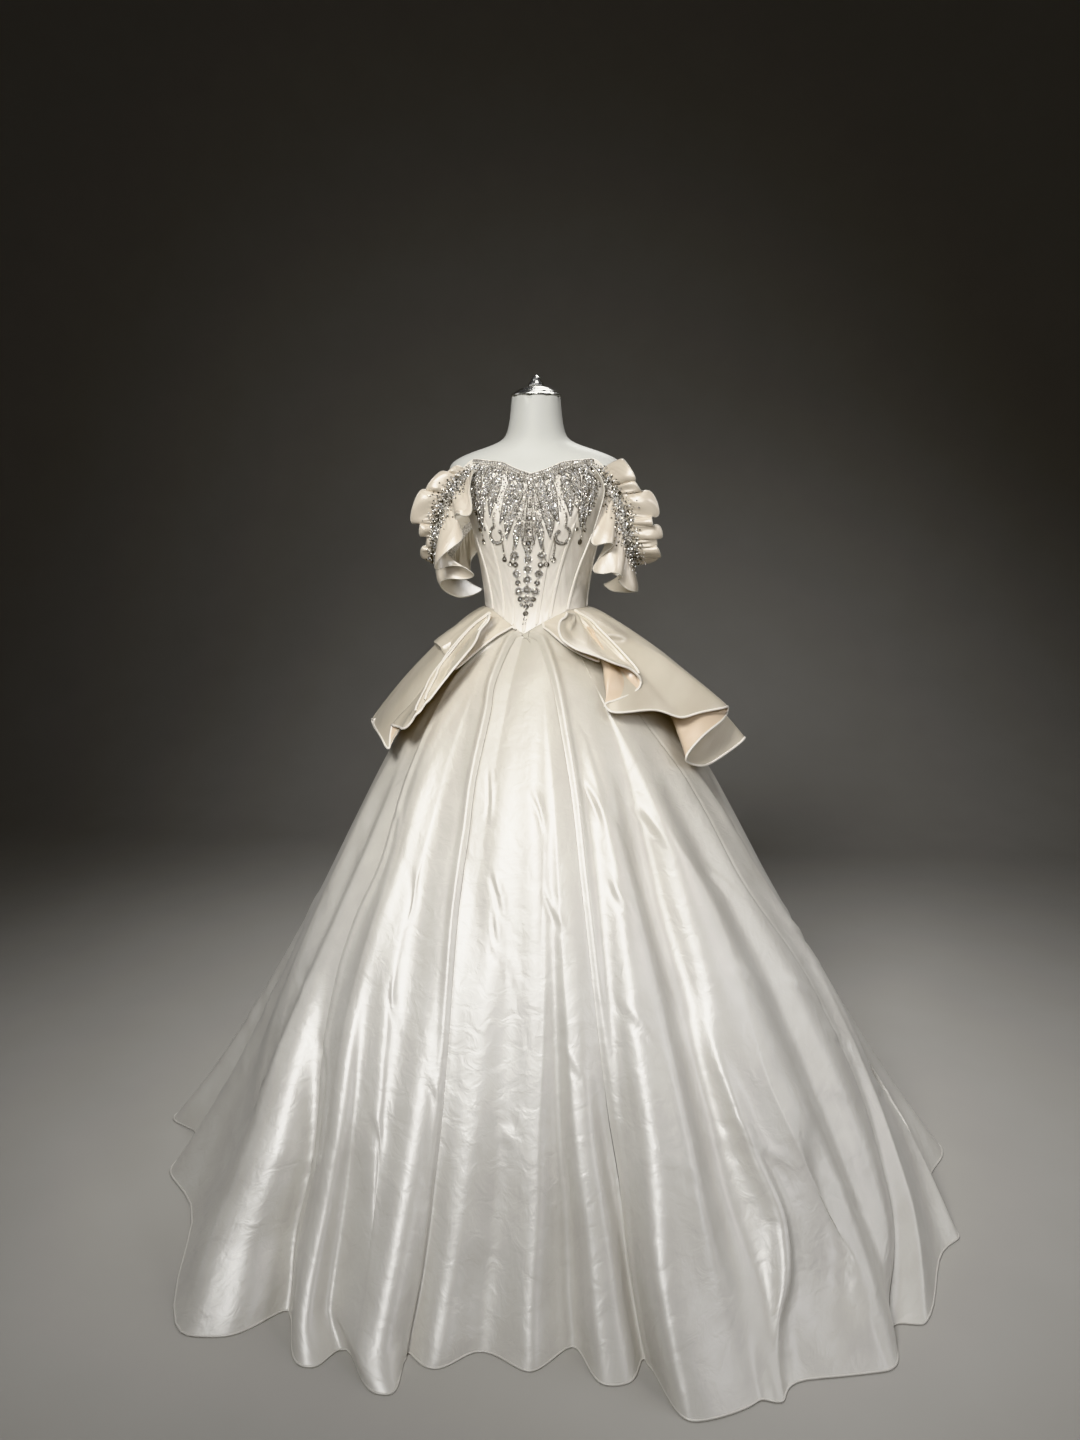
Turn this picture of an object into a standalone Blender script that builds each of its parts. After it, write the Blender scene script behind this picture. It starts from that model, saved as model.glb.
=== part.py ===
# A ball gown on a limbless dress form: a boned bodice, a nine-gore skirt, a cascading
# peplum and two off-shoulder sleeves with ruffles. Metres, +Z up, the front faces -Y,
# the wearer's left is +X, and the origin is on the floor under the form's pole.
# Angles run round the Z axis from the front (-Y) towards +X and are in degrees.

import math
from collections import namedtuple

import bmesh
import bpy
import numpy as np

# Cloth, in metres
WALL = 0.002  # bodice and skirt cloth with its backing
RUFFLE_WALL = 0.0015  # peplum and sleeve cloth, faced with itself
SEAM_GAP = 0.0003  # between two pieces that are sewn together
TRIM_GAP = 0.0008  # under a trim that lies on a panel
FORM_CLEARANCE = 0.0024  # between the bodice and the dress form

# Dress form and its stand
NECK_TOP = 1.545
TORSO_COLUMNS = 32
TORSO_RING_SPACING = 0.026  # above the hips, where the bodice lies close
BUST_HEIGHT = 1.295
BUST_ANGLE = 27.0
BUST_DEPTH = 0.008
BUST_SPREAD = 26.0
BUST_RISE = 0.060
POLE_RADIUS = 0.016
BASE_RADIUS = 0.170
BASE_THICKNESS = 0.012
CAP_RADIUS = 0.0525
CAP_HEIGHT = 0.016
FINIAL_RADIUS = 0.0085
FINIAL_HEIGHT = 0.021

# Gown
WAIST_HEIGHT = 1.120
WAIST_DIP = 0.050  # how far the bodice's point drops at the centre front
WAIST_DIP_ANGLE = 60.0
FOLD_TURN_HEIGHT = 0.75  # below this, a fold swings from its upper angle to its hem angle
FOLD_GROWTH = 1.3
WAIST_BLEND_HEIGHT = 1.02  # below this, the skirt's section is round
SIDE_LEAN = 0.04  # the skirt stands wider on the wearer's left than on the right
BACK_FULLNESS = 0.015
PEPLUM_BULGE = 0.55
PEPLUM_SEAT = 0.0011  # from the skirt to the peplum along its sewn edge
PEPLUM_DROP = 0.0015  # of the sewn edge below the waist seam
BONE_WIDTH = 0.0075
BONE_THICKNESS = 0.0016
BEAD_THICKNESS = 0.0014
WIDE_STRIP = 0.014  # a wider strip bends along its middle line too
BAND_WIDTH = 0.014

Section = namedtuple("Section", "height half_width half_depth")
FORM_SECTIONS = (
    Section(0.800, 0.108, 0.084),
    Section(0.825, 0.138, 0.105),
    Section(0.870, 0.156, 0.118),
    Section(0.920, 0.160, 0.120),
    Section(1.000, 0.145, 0.108),
    Section(1.060, 0.118, 0.091),
    Section(1.120, 0.102, 0.080),
    Section(1.180, 0.108, 0.086),
    Section(1.250, 0.122, 0.099),
    Section(1.300, 0.134, 0.106),
    Section(1.330, 0.148, 0.103),
    Section(1.360, 0.168, 0.095),
    Section(1.385, 0.181, 0.085),
    Section(1.405, 0.183, 0.075),
    Section(1.420, 0.170, 0.067),
    Section(1.435, 0.135, 0.062),
    Section(1.447, 0.095, 0.060),
    Section(1.458, 0.068, 0.058),
    Section(1.475, 0.058, 0.056),
    Section(1.510, 0.0525, 0.0525),
    Section(NECK_TOP, 0.050, 0.050),
)

# The bodice's upper edge, by angle from the centre front
EdgePoint = namedtuple("EdgePoint", "angle height")
TOP_EDGE = (
    EdgePoint(0.0, 1.387),
    EdgePoint(9.0, 1.396),
    EdgePoint(20.0, 1.410),
    EdgePoint(33.0, 1.414),
    EdgePoint(42.0, 1.416),
    EdgePoint(50.0, 1.400),
    EdgePoint(60.0, 1.370),
    EdgePoint(75.0, 1.328),
    EdgePoint(90.0, 1.305),
    EdgePoint(112.0, 1.303),
    EdgePoint(135.0, 1.318),
    EdgePoint(158.0, 1.326),
    EdgePoint(180.0, 1.330),
)

# Bodice seams at either side of the centre front, as angles at the waist and at the top
Seam = namedtuple("Seam", "waist_angle top_angle")
BODICE_SEAMS = (
    Seam(13.0, 29.0),
    Seam(27.0, 47.0),
    Seam(47.0, 77.0),
    Seam(90.0, 93.0),
    Seam(135.0, 130.0),
    Seam(180.0, 180.0),
)
PANEL_NAMES = ("front", "side_front", "side", "side_back", "back")
PANEL_COLUMNS = 4
PANEL_ROWS = 10

SkirtRing = namedtuple("SkirtRing", "height radius")
SKIRT_PROFILE = (
    SkirtRing(1.140, 0.094),
    SkirtRing(1.120, 0.107),
    SkirtRing(1.080, 0.137),
    SkirtRing(1.020, 0.184),
    SkirtRing(0.950, 0.236),
    SkirtRing(0.810, 0.325),
    SkirtRing(0.660, 0.405),
    SkirtRing(0.510, 0.482),
    SkirtRing(0.280, 0.610),
    SkirtRing(0.100, 0.722),
    SkirtRing(0.000, 0.800),
)
SKIRT_ROWS = (1.120, 1.080, 1.010, 0.900, 0.760, 0.600, 0.430, 0.250, 0.090, 0.000)

# Each fold of the skirt: a valley and a crest with two shoulders on the hem, the angle
# that the crest has higher up, and the height at which the fold starts
Fold = namedtuple("Fold", "valley dip left left_reach right right_reach upper start")
FOLDS = (
    Fold(-180.0, 0.815, -176.0, 0.903, -170.5, 0.907, -173.0, 0.80),
    Fold(-166.0, 0.812, -161.5, 0.900, -156.0, 0.896, -159.0, 0.95),
    Fold(-152.0, 0.802, -147.0, 0.880, -142.5, 0.886, -145.0, 0.70),
    Fold(-138.5, 0.775, -134.5, 0.855, -128.0, 0.842, -131.0, 0.95),
    Fold(-124.0, 0.745, -119.5, 0.815, -115.0, 0.808, -118.0, 0.75),
    Fold(-111.0, 0.722, -106.5, 0.776, -101.5, 0.766, -106.0, 0.90),
    Fold(-97.5, 0.708, -93.0, 0.764, -88.0, 0.770, -95.0, 0.65),
    Fold(-83.5, 0.735, -80.0, 0.798, -76.5, 0.800, -85.0, 0.60),
    Fold(-71.5, 0.722, -64.5, 0.790, -59.5, 0.792, -72.0, 0.75),
    Fold(-49.5, 0.764, -32.0, 0.958, -25.5, 0.893, -50.0, 1.00),
    Fold(-24.2, 0.790, -18.4, 0.903, -15.4, 0.893, -35.0, 0.80),
    Fold(-15.0, 0.836, -9.8, 0.914, -6.8, 0.902, -24.0, 1.00),
    Fold(-8.1, 0.811, -5.6, 0.843, -2.9, 0.838, -8.0, 0.60),
    Fold(0.2, 0.788, 4.6, 0.832, 6.9, 0.831, 8.0, 0.55),
    Fold(11.0, 0.768, 12.2, 0.866, 16.2, 0.872, 14.0, 1.00),
    Fold(18.2, 0.806, 19.2, 0.962, 26.5, 0.962, 27.0, 0.95),
    Fold(27.6, 0.955, 28.4, 0.970, 29.6, 0.964, 42.0, 0.60),
    Fold(31.5, 0.946, 38.4, 0.992, 40.8, 0.998, 52.0, 1.00),
    Fold(44.2, 0.938, 45.6, 0.962, 47.6, 0.976, 68.0, 0.90),
    Fold(58.0, 0.908, 61.8, 0.926, 63.8, 0.920, 84.0, 0.60),
    Fold(73.7, 0.842, 79.5, 0.874, 84.0, 0.868, 99.0, 0.80),
    Fold(89.5, 0.765, 95.0, 0.806, 100.0, 0.814, 112.0, 0.90),
    Fold(105.0, 0.780, 110.0, 0.852, 115.0, 0.868, 124.0, 0.70),
    Fold(120.5, 0.820, 125.0, 0.910, 130.0, 0.905, 136.0, 0.90),
    Fold(135.0, 0.825, 139.5, 0.908, 144.5, 0.912, 148.0, 0.75),
    Fold(149.5, 0.822, 154.0, 0.915, 158.5, 0.910, 160.0, 0.95),
    Fold(164.0, 0.818, 168.5, 0.908, 174.0, 0.912, 171.0, 0.70),
)
FOLD_POINTS = 4  # each fold's valley, left shoulder, crest and right shoulder

# Each gore: its first fold, how many folds it holds and its columns of points for each
Gore = namedtuple("Gore", "name first_fold folds steps")
GORES = (
    Gore("skirt_back_right", 0, 3, 4),
    Gore("skirt_side_back_right", 3, 3, 4),
    Gore("skirt_side_right", 6, 4, 4),
    Gore("skirt_side_front_right", 10, 2, 5),
    Gore("skirt_centre_front", 12, 3, 5),
    Gore("skirt_side_front_left", 15, 3, 5),
    Gore("skirt_side_left", 18, 3, 4),
    Gore("skirt_side_back_left", 21, 3, 4),
    Gore("skirt_back_left", 24, 3, 4),
)

# The free edge of each peplum flounce, from the front waist to the centre back: the
# waist angle that it falls from, its own angle and height, and its distance from the skirt
Cascade = namedtuple("Cascade", "waist_angle angle height stand_off")
PEPLUM_LEFT = (
    Cascade(25.0, 24.0, 1.086, 0.005),
    Cascade(33.0, 31.5, 1.092, 0.010),
    Cascade(40.0, 38.5, 1.102, 0.016),
    Cascade(44.0, 33.0, 1.113, 0.040),
    Cascade(45.5, 24.0, 1.111, 0.056),
    Cascade(46.5, 19.5, 1.097, 0.064),
    Cascade(47.5, 20.5, 1.075, 0.066),
    Cascade(48.5, 26.0, 1.054, 0.066),
    Cascade(50.0, 37.6, 1.024, 0.064),
    Cascade(52.0, 48.0, 0.996, 0.057),
    Cascade(53.5, 54.8, 0.974, 0.046),
    Cascade(55.0, 47.0, 0.958, 0.034),
    Cascade(56.5, 35.7, 0.939, 0.022),
    Cascade(58.5, 42.0, 0.928, 0.027),
    Cascade(62.0, 54.0, 0.929, 0.042),
    Cascade(69.0, 70.6, 0.902, 0.070),
    Cascade(76.0, 84.0, 0.897, 0.105),
    Cascade(82.0, 92.5, 0.898, 0.132),
    Cascade(86.0, 83.0, 0.866, 0.085),
    Cascade(90.0, 67.0, 0.825, 0.044),
    Cascade(94.0, 78.0, 0.834, 0.062),
    Cascade(98.0, 92.5, 0.850, 0.126),
    Cascade(102.0, 98.0, 0.830, 0.092),
    Cascade(106.0, 97.0, 0.802, 0.048),
)
PEPLUM_RIGHT = (
    Cascade(20.0, 19.5, 1.088, 0.006),
    Cascade(24.0, 24.0, 1.082, 0.035),
    Cascade(28.0, 29.0, 1.062, 0.052),
    Cascade(34.0, 34.0, 1.017, 0.058),
    Cascade(40.0, 42.0, 0.980, 0.057),
    Cascade(46.0, 47.5, 0.930, 0.056),
    Cascade(52.0, 54.0, 0.885, 0.052),
    Cascade(57.0, 60.5, 0.838, 0.042),
    Cascade(61.0, 66.0, 0.850, 0.056),
    Cascade(65.0, 73.0, 0.872, 0.068),
    Cascade(71.0, 69.0, 0.880, 0.046),
    Cascade(77.0, 70.0, 0.872, 0.030),
    Cascade(83.0, 80.0, 0.868, 0.058),
    Cascade(90.0, 93.0, 0.862, 0.088),
    Cascade(97.0, 96.0, 0.844, 0.070),
    Cascade(104.0, 97.0, 0.830, 0.046),
)
PEPLUM_BACK = (
    Cascade(112.0, 108.0, 0.845, 0.066),
    Cascade(119.0, 120.0, 0.862, 0.100),
    Cascade(127.0, 126.0, 0.844, 0.052),
    Cascade(135.0, 138.0, 0.862, 0.096),
    Cascade(143.0, 144.0, 0.842, 0.050),
    Cascade(151.0, 155.0, 0.860, 0.090),
    Cascade(159.0, 161.0, 0.844, 0.050),
    Cascade(168.0, 171.0, 0.858, 0.078),
    Cascade(178.0, 178.6, 0.850, 0.050),
)
PEPLUM_STEPS = 2  # columns of points between two rows of the tables above
PEPLUM_DEPTHS = (0.0, 0.08, 0.28, 0.6, 1.0)

# The gathering band of a sleeve, from the bodice's front corner round the arm to its
# back corner: distances from the centre line, in front of the axis, and the height
BandPoint = namedtuple("BandPoint", "across forward height")
SLEEVE_BAND = (
    BandPoint(0.146, 0.091, 1.372),
    BandPoint(0.171, 0.101, 1.335),
    BandPoint(0.189, 0.101, 1.285),
    BandPoint(0.205, 0.088, 1.232),
    BandPoint(0.220, 0.052, 1.196),
    BandPoint(0.228, 0.000, 1.182),
    BandPoint(0.219, -0.050, 1.195),
    BandPoint(0.193, -0.086, 1.235),
    BandPoint(0.155, -0.098, 1.285),
)
BAND_FRONT = (1.6, 0.94)  # panel place and share of the bodice's height
BAND_BACK = (4.9, 0.93)
BAND_SEAT = 0.0005  # from the bodice to the band's two ends
BAND_TURN = 0.12  # share of its length in which the band turns from the bodice to the arm
BAND_COLUMNS = 26
RUFFLE_COLUMNS = 52  # along a whole band
ARM_AXIS = 0.165  # how far out the arm would hang
UPPER_WAVES = 13
UPPER_SWELL = 0.0105
UPPER_CURL = 0.0022

# How wide each upper ruffle is along its band
RuffleWidth = namedtuple("RuffleWidth", "along width")
UPPER_LEFT = (
    RuffleWidth(0.03, 0.022),
    RuffleWidth(0.12, 0.047),
    RuffleWidth(0.22, 0.055),
    RuffleWidth(0.38, 0.056),
    RuffleWidth(0.47, 0.040),
    RuffleWidth(0.60, 0.040),
    RuffleWidth(0.80, 0.046),
    RuffleWidth(0.97, 0.022),
)
UPPER_RIGHT = (
    RuffleWidth(0.03, 0.034),
    RuffleWidth(0.12, 0.050),
    RuffleWidth(0.22, 0.047),
    RuffleWidth(0.30, 0.043),
    RuffleWidth(0.38, 0.030),
    RuffleWidth(0.47, 0.022),
    RuffleWidth(0.62, 0.034),
    RuffleWidth(0.80, 0.046),
    RuffleWidth(0.97, 0.022),
)

# The free edge of each lower ruffle: the share of the band's length that it falls from
RuffleEdge = namedtuple("RuffleEdge", "along across forward height")
LOWER_LEFT = (
    RuffleEdge(0.05, 0.130, 0.100, 1.362),
    RuffleEdge(0.09, 0.141, 0.130, 1.345),
    RuffleEdge(0.13, 0.144, 0.150, 1.325),
    RuffleEdge(0.18, 0.130, 0.158, 1.288),
    RuffleEdge(0.22, 0.108, 0.150, 1.251),
    RuffleEdge(0.27, 0.138, 0.138, 1.248),
    RuffleEdge(0.31, 0.158, 0.122, 1.256),
    RuffleEdge(0.35, 0.140, 0.112, 1.225),
    RuffleEdge(0.39, 0.118, 0.122, 1.190),
    RuffleEdge(0.43, 0.160, 0.128, 1.180),
    RuffleEdge(0.46, 0.184, 0.108, 1.190),
    RuffleEdge(0.49, 0.160, 0.090, 1.172),
    RuffleEdge(0.53, 0.176, 0.092, 1.152),
    RuffleEdge(0.57, 0.206, 0.072, 1.154),
    RuffleEdge(0.62, 0.224, 0.030, 1.164),
    RuffleEdge(0.68, 0.212, -0.010, 1.140),
    RuffleEdge(0.74, 0.226, -0.045, 1.158),
    RuffleEdge(0.80, 0.190, -0.082, 1.168),
    RuffleEdge(0.86, 0.178, -0.118, 1.212),
    RuffleEdge(0.91, 0.148, -0.106, 1.228),
    RuffleEdge(0.95, 0.130, -0.098, 1.275),
)
LOWER_RIGHT = (
    RuffleEdge(0.05, 0.130, 0.100, 1.368),
    RuffleEdge(0.09, 0.131, 0.130, 1.358),
    RuffleEdge(0.13, 0.118, 0.150, 1.338),
    RuffleEdge(0.17, 0.112, 0.154, 1.308),
    RuffleEdge(0.22, 0.140, 0.142, 1.298),
    RuffleEdge(0.26, 0.156, 0.128, 1.276),
    RuffleEdge(0.30, 0.150, 0.132, 1.240),
    RuffleEdge(0.35, 0.184, 0.132, 1.206),
    RuffleEdge(0.39, 0.150, 0.144, 1.194),
    RuffleEdge(0.43, 0.116, 0.140, 1.190),
    RuffleEdge(0.47, 0.150, 0.120, 1.186),
    RuffleEdge(0.51, 0.184, 0.106, 1.174),
    RuffleEdge(0.56, 0.150, 0.104, 1.148),
    RuffleEdge(0.61, 0.104, 0.086, 1.152),
    RuffleEdge(0.66, 0.148, 0.050, 1.164),
    RuffleEdge(0.71, 0.196, 0.020, 1.158),
    RuffleEdge(0.77, 0.216, -0.025, 1.148),
    RuffleEdge(0.83, 0.192, -0.080, 1.166),
    RuffleEdge(0.88, 0.176, -0.112, 1.212),
    RuffleEdge(0.92, 0.146, -0.102, 1.236),
    RuffleEdge(0.95, 0.130, -0.096, 1.280),
)
LOWER_BULGE = 0.012
RUFFLE_DEPTHS = (0.0, 0.3, 0.65, 1.0)

# Colours: red, green, blue as 0 to 1, linear
IVORY_SATIN = (0.80, 0.74, 0.63)
CHAMPAGNE_SATIN = (0.74, 0.62, 0.48)
SILVER_BEADS = (0.48, 0.46, 0.42)
FORM_WHITE = (0.68, 0.68, 0.62)
POLISHED_SILVER = (0.62, 0.62, 0.60)
STAND_STEEL = (0.30, 0.30, 0.31)


# Curves, normals and meshes


def smooth_curve(places, values):
    # A curve through the points that never swings past them (monotone cubic)
    places = np.asarray(places, float)
    values = np.asarray(values, float)
    spans = np.diff(places)
    slopes = np.diff(values) / spans
    before, after = slopes[:-1], slopes[1:]
    same_way = before * after > 0
    weight_before = 2 * spans[1:] + spans[:-1]
    weight_after = spans[1:] + 2 * spans[:-1]
    safe_before = np.where(same_way, before, 1.0)
    safe_after = np.where(same_way, after, 1.0)
    mean = (weight_before + weight_after) / (weight_before / safe_before + weight_after / safe_after)
    tangents = np.concatenate([slopes[:1], np.where(same_way, mean, 0.0), slopes[-1:]])

    def value_at(place):
        place = np.clip(place, places[0], places[-1])
        index = np.clip(np.searchsorted(places, place, side="right") - 1, 0, len(spans) - 1)
        span = spans[index]
        t = (place - places[index]) / span
        low, high = values[index], values[index + 1]
        rise_low, rise_high = tangents[index] * span, tangents[index + 1] * span
        return (
            (2 * t**3 - 3 * t**2 + 1) * low
            + (t**3 - 2 * t**2 + t) * rise_low
            + (3 * t**2 - 2 * t**3) * high
            + (t**3 - t**2) * rise_high
        )

    return value_at


def ease(share):
    share = np.clip(share, 0.0, 1.0)
    return share * share * (3 - 2 * share)


def unit(vectors):
    return vectors / np.linalg.norm(vectors, axis=-1, keepdims=True)


def grid_normals(points):
    # Unit normals of a grid of points [column][row], the columns counter-clockwise from
    # above and the rows downwards, so that they face away from the Z axis
    along = np.gradient(points, axis=0)
    down = np.gradient(points, axis=1)
    return unit(np.cross(down, along))


def part_at_seam(points, end):
    # Moves a grid's last column half a seam gap back towards its neighbour
    edge, neighbour = (0, 1) if end == "first" else (-1, -2)
    points[edge] += unit(points[neighbour] - points[edge]) * SEAM_GAP / 2


def satin(name, colour, roughness, metallic=0.0):
    material = bpy.data.materials.new(name)
    material.use_nodes = True
    shader = material.node_tree.nodes["Principled BSDF"]
    shader.inputs["Base Color"].default_value = (*colour, 1.0)
    shader.inputs["Roughness"].default_value = roughness
    shader.inputs["Metallic"].default_value = metallic
    material.diffuse_color = (*colour, 1.0)
    return material


def add_object(name, mesh, material):
    thing = bpy.data.objects.new(name, mesh)
    bpy.context.scene.collection.objects.link(thing)
    mesh.materials.append(material)
    mesh.shade_smooth()
    mesh.set_sharp_from_angle(angle=math.radians(40))
    return thing


def add_wall(name, outer, inner, material):
    # A closed wall between two grids of points [column][row]
    columns, rows = outer.shape[:2]
    shape = bmesh.new()
    sheets = [
        [[shape.verts.new(point) for point in column] for column in grid]
        for grid in (outer, inner)
    ]
    for column in range(columns - 1):
        for row in range(rows - 1):
            for sheet in sheets:
                shape.faces.new(
                    (
                        sheet[column][row],
                        sheet[column + 1][row],
                        sheet[column + 1][row + 1],
                        sheet[column][row + 1],
                    )
                )
    rim = (
        [(column, 0) for column in range(columns)]
        + [(columns - 1, row) for row in range(1, rows)]
        + [(column, rows - 1) for column in range(columns - 2, -1, -1)]
        + [(0, row) for row in range(rows - 2, 0, -1)]
    )
    for here, there in zip(rim, rim[1:] + rim[:1]):
        shape.faces.new(
            (
                sheets[0][here[0]][here[1]],
                sheets[0][there[0]][there[1]],
                sheets[1][there[0]][there[1]],
                sheets[1][here[0]][here[1]],
            )
        )
    bmesh.ops.recalc_face_normals(shape, faces=shape.faces)
    mesh = bpy.data.meshes.new(name)
    shape.to_mesh(mesh)
    shape.free()
    return add_object(name, mesh, material)


def add_turned(name, profile, segments, material):
    # A solid turned about the Z axis from (radius, height) points, bottom to top
    shape = bmesh.new()
    bottom = shape.verts.new((0.0, 0.0, profile[0][1]))
    top = shape.verts.new((0.0, 0.0, profile[-1][1]))
    rings = []
    for radius, height in profile:
        ring = []
        for step in range(segments):
            turn = 2 * math.pi * step / segments
            ring.append(shape.verts.new((radius * math.sin(turn), -radius * math.cos(turn), height)))
        rings.append(ring)
    for low, high in zip(rings, rings[1:]):
        for step in range(segments):
            after = (step + 1) % segments
            shape.faces.new((low[step], low[after], high[after], high[step]))
    for step in range(segments):
        after = (step + 1) % segments
        shape.faces.new((bottom, rings[0][after], rings[0][step]))
        shape.faces.new((top, rings[-1][step], rings[-1][after]))
    bmesh.ops.recalc_face_normals(shape, faces=shape.faces)
    mesh = bpy.data.meshes.new(name)
    shape.to_mesh(mesh)
    shape.free()
    return add_object(name, mesh, material)


# Dress form

form_half_width = smooth_curve(
    [row.height for row in FORM_SECTIONS], [row.half_width for row in FORM_SECTIONS]
)
form_half_depth = smooth_curve(
    [row.height for row in FORM_SECTIONS], [row.half_depth for row in FORM_SECTIONS]
)


def form_points(angles, heights):
    # Points of the form's surface; the angles are those of each oval section
    turns = np.radians(angles)
    across = (np.abs(angles) - BUST_ANGLE) / BUST_SPREAD
    upward = (heights - BUST_HEIGHT) / BUST_RISE
    bust = BUST_DEPTH * np.exp(-(across**2) - upward**2)
    return np.stack(
        [
            (form_half_width(heights) + bust) * np.sin(turns),
            -(form_half_depth(heights) + bust) * np.cos(turns),
            heights + 0.0 * turns,
        ],
        axis=-1,
    )


def form_normals(angles, heights):
    step_angle, step_height = 0.5, 0.001
    along = form_points(angles + step_angle, heights) - form_points(angles - step_angle, heights)
    upward = form_points(angles, heights + step_height) - form_points(angles, heights - step_height)
    return unit(np.cross(along, upward))


def torso_ring_heights():
    # The sections' own heights, with more rings where two sections are far apart
    heights = [FORM_SECTIONS[0].height]
    for low, high in zip(FORM_SECTIONS, FORM_SECTIONS[1:]):
        close = low.height >= 1.0 and high.height <= 1.4
        steps = math.ceil((high.height - low.height) / TORSO_RING_SPACING) if close else 1
        heights.extend(np.linspace(low.height, high.height, steps + 1)[1:])
    return heights


def build_dress_form(white, silver, steel):
    shape = bmesh.new()
    rings = []
    for height in torso_ring_heights():
        angles = np.arange(TORSO_COLUMNS) * 360.0 / TORSO_COLUMNS - 180.0
        points = form_points(angles, np.full(TORSO_COLUMNS, height))
        rings.append([shape.verts.new(point) for point in points])
    for low, high in zip(rings, rings[1:]):
        for step in range(TORSO_COLUMNS):
            after = (step + 1) % TORSO_COLUMNS
            shape.faces.new((low[step], low[after], high[after], high[step]))
    shape.faces.new(rings[0])
    shape.faces.new(rings[-1])
    bmesh.ops.recalc_face_normals(shape, faces=shape.faces)
    mesh = bpy.data.meshes.new("form_torso")
    shape.to_mesh(mesh)
    shape.free()
    add_object("form_torso", mesh, white)

    cap_bottom = NECK_TOP + SEAM_GAP
    cap_top = cap_bottom + CAP_HEIGHT
    cap_profile = (
        (CAP_RADIUS - 0.0015, cap_bottom),
        (CAP_RADIUS, cap_bottom + 0.0015),
        (CAP_RADIUS - 0.001, cap_bottom + 0.004),
        (0.0390, cap_bottom + 0.0075),
        (0.0260, cap_bottom + 0.0095),
        (0.0150, cap_bottom + 0.0125),
        (0.0110, cap_top),
    )
    add_turned("form_neck_cap", cap_profile, 24, silver)
    finial_bottom = cap_top + SEAM_GAP
    finial_profile = (
        (0.0060, finial_bottom),
        (FINIAL_RADIUS, finial_bottom + 0.30 * FINIAL_HEIGHT),
        (0.0062, finial_bottom + 0.60 * FINIAL_HEIGHT),
        (0.0020, finial_bottom + 0.90 * FINIAL_HEIGHT),
        (0.0008, finial_bottom + FINIAL_HEIGHT),
    )
    add_turned("form_cap_finial", finial_profile, 12, silver)

    base_profile = (
        (BASE_RADIUS - 0.002, 0.0),
        (BASE_RADIUS, 0.003),
        (BASE_RADIUS - 0.001, 0.007),
        (BASE_RADIUS - 0.012, BASE_THICKNESS),
    )
    add_turned("stand_base", base_profile, 36, steel)
    pole_bottom = BASE_THICKNESS + SEAM_GAP
    pole_top = FORM_SECTIONS[0].height - SEAM_GAP
    add_turned("stand_pole", ((POLE_RADIUS, pole_bottom), (POLE_RADIUS, pole_top)), 16, steel)


# Bodice

top_edge_height = smooth_curve([row.angle for row in TOP_EDGE], [row.height for row in TOP_EDGE])


def waist_heights(angles):
    dip = np.clip(1.0 - np.abs(angles) / WAIST_DIP_ANGLE, 0.0, 1.0) ** 1.5
    return WAIST_HEIGHT - WAIST_DIP * dip


def seam_angles(place, shares):
    # Section angles along the line at a panel place: 0 is the centre front, 1 the first
    # seam at +X, 2 the second, and 6 the centre back; minus is towards -X
    places = np.arange(len(BODICE_SEAMS) + 1)
    at_waist = np.interp(abs(place), places, [0.0] + [seam.waist_angle for seam in BODICE_SEAMS])
    at_top = np.interp(abs(place), places, [0.0] + [seam.top_angle for seam in BODICE_SEAMS])
    angles = at_waist + (at_top - at_waist) * np.asarray(shares)
    return math.copysign(1.0, place) * angles


def bodice_line(place, shares):
    # Points and normals of the form under the bodice, down a line of one panel place
    shares = np.asarray(shares, float)
    angles = seam_angles(place, shares)
    low = waist_heights(angles)
    high = top_edge_height(np.abs(angles))
    heights = low + (high - low) * shares
    return form_points(angles, heights), form_normals(angles, heights)


BODICE_SHARES = 1.0 - np.arange(PANEL_ROWS) / (PANEL_ROWS - 1)


def bodice_grid(places):
    lines = [bodice_line(place, BODICE_SHARES) for place in places]
    points = np.array([line[0] for line in lines])
    normals = np.array([line[1] for line in lines])
    return points, normals


def panel_places(first, last):
    return np.linspace(first, last, PANEL_COLUMNS + 1)


def add_panel(name, places, material):
    points, normals = bodice_grid(places)
    inner = points + normals * FORM_CLEARANCE
    outer = points + normals * (FORM_CLEARANCE + WALL)
    for grid in (inner, outer):
        part_at_seam(grid, "first")
        part_at_seam(grid, "last")
    return add_wall(name, outer, inner, material)


def bodice_spot(place, share):
    # A point of the bodice's faceted outer face and its normal
    count = PANEL_COLUMNS
    low_place = math.floor(place * count) / count
    high_place = low_place + 1.0 / count
    row = (1.0 - share) * (PANEL_ROWS - 1)
    low_row = min(int(row), PANEL_ROWS - 2)
    shares = BODICE_SHARES[low_row : low_row + 2]
    points, normals = [], []
    for corner in (low_place, high_place):
        line = bodice_line(corner, shares)
        points.append(line[0] + line[1] * (FORM_CLEARANCE + WALL))
        normals.append(line[1])
    across = (place - low_place) * count
    down = row - low_row
    weights = np.outer([1 - across, across], [1 - down, down])
    point = np.einsum("ij,ijk->k", weights, np.array(points))
    normal = unit(np.einsum("ij,ijk->k", weights, np.array(normals)))
    return point, normal


def on_bodice(place, share, distance):
    point, normal = bodice_spot(place, share)
    return point + normal * distance


def add_overlay(name, places, shares, thickness, material):
    # A piece on the bodice: a grid [column][row] of panel places and height shares
    outer = np.empty((*places.shape, 3))
    inner = np.empty((*places.shape, 3))
    for index in np.ndindex(*places.shape):
        inner[index] = on_bodice(places[index], shares[index], TRIM_GAP)
        outer[index] = on_bodice(places[index], shares[index], TRIM_GAP + thickness)
    return add_wall(name, outer, inner, material)


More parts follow.
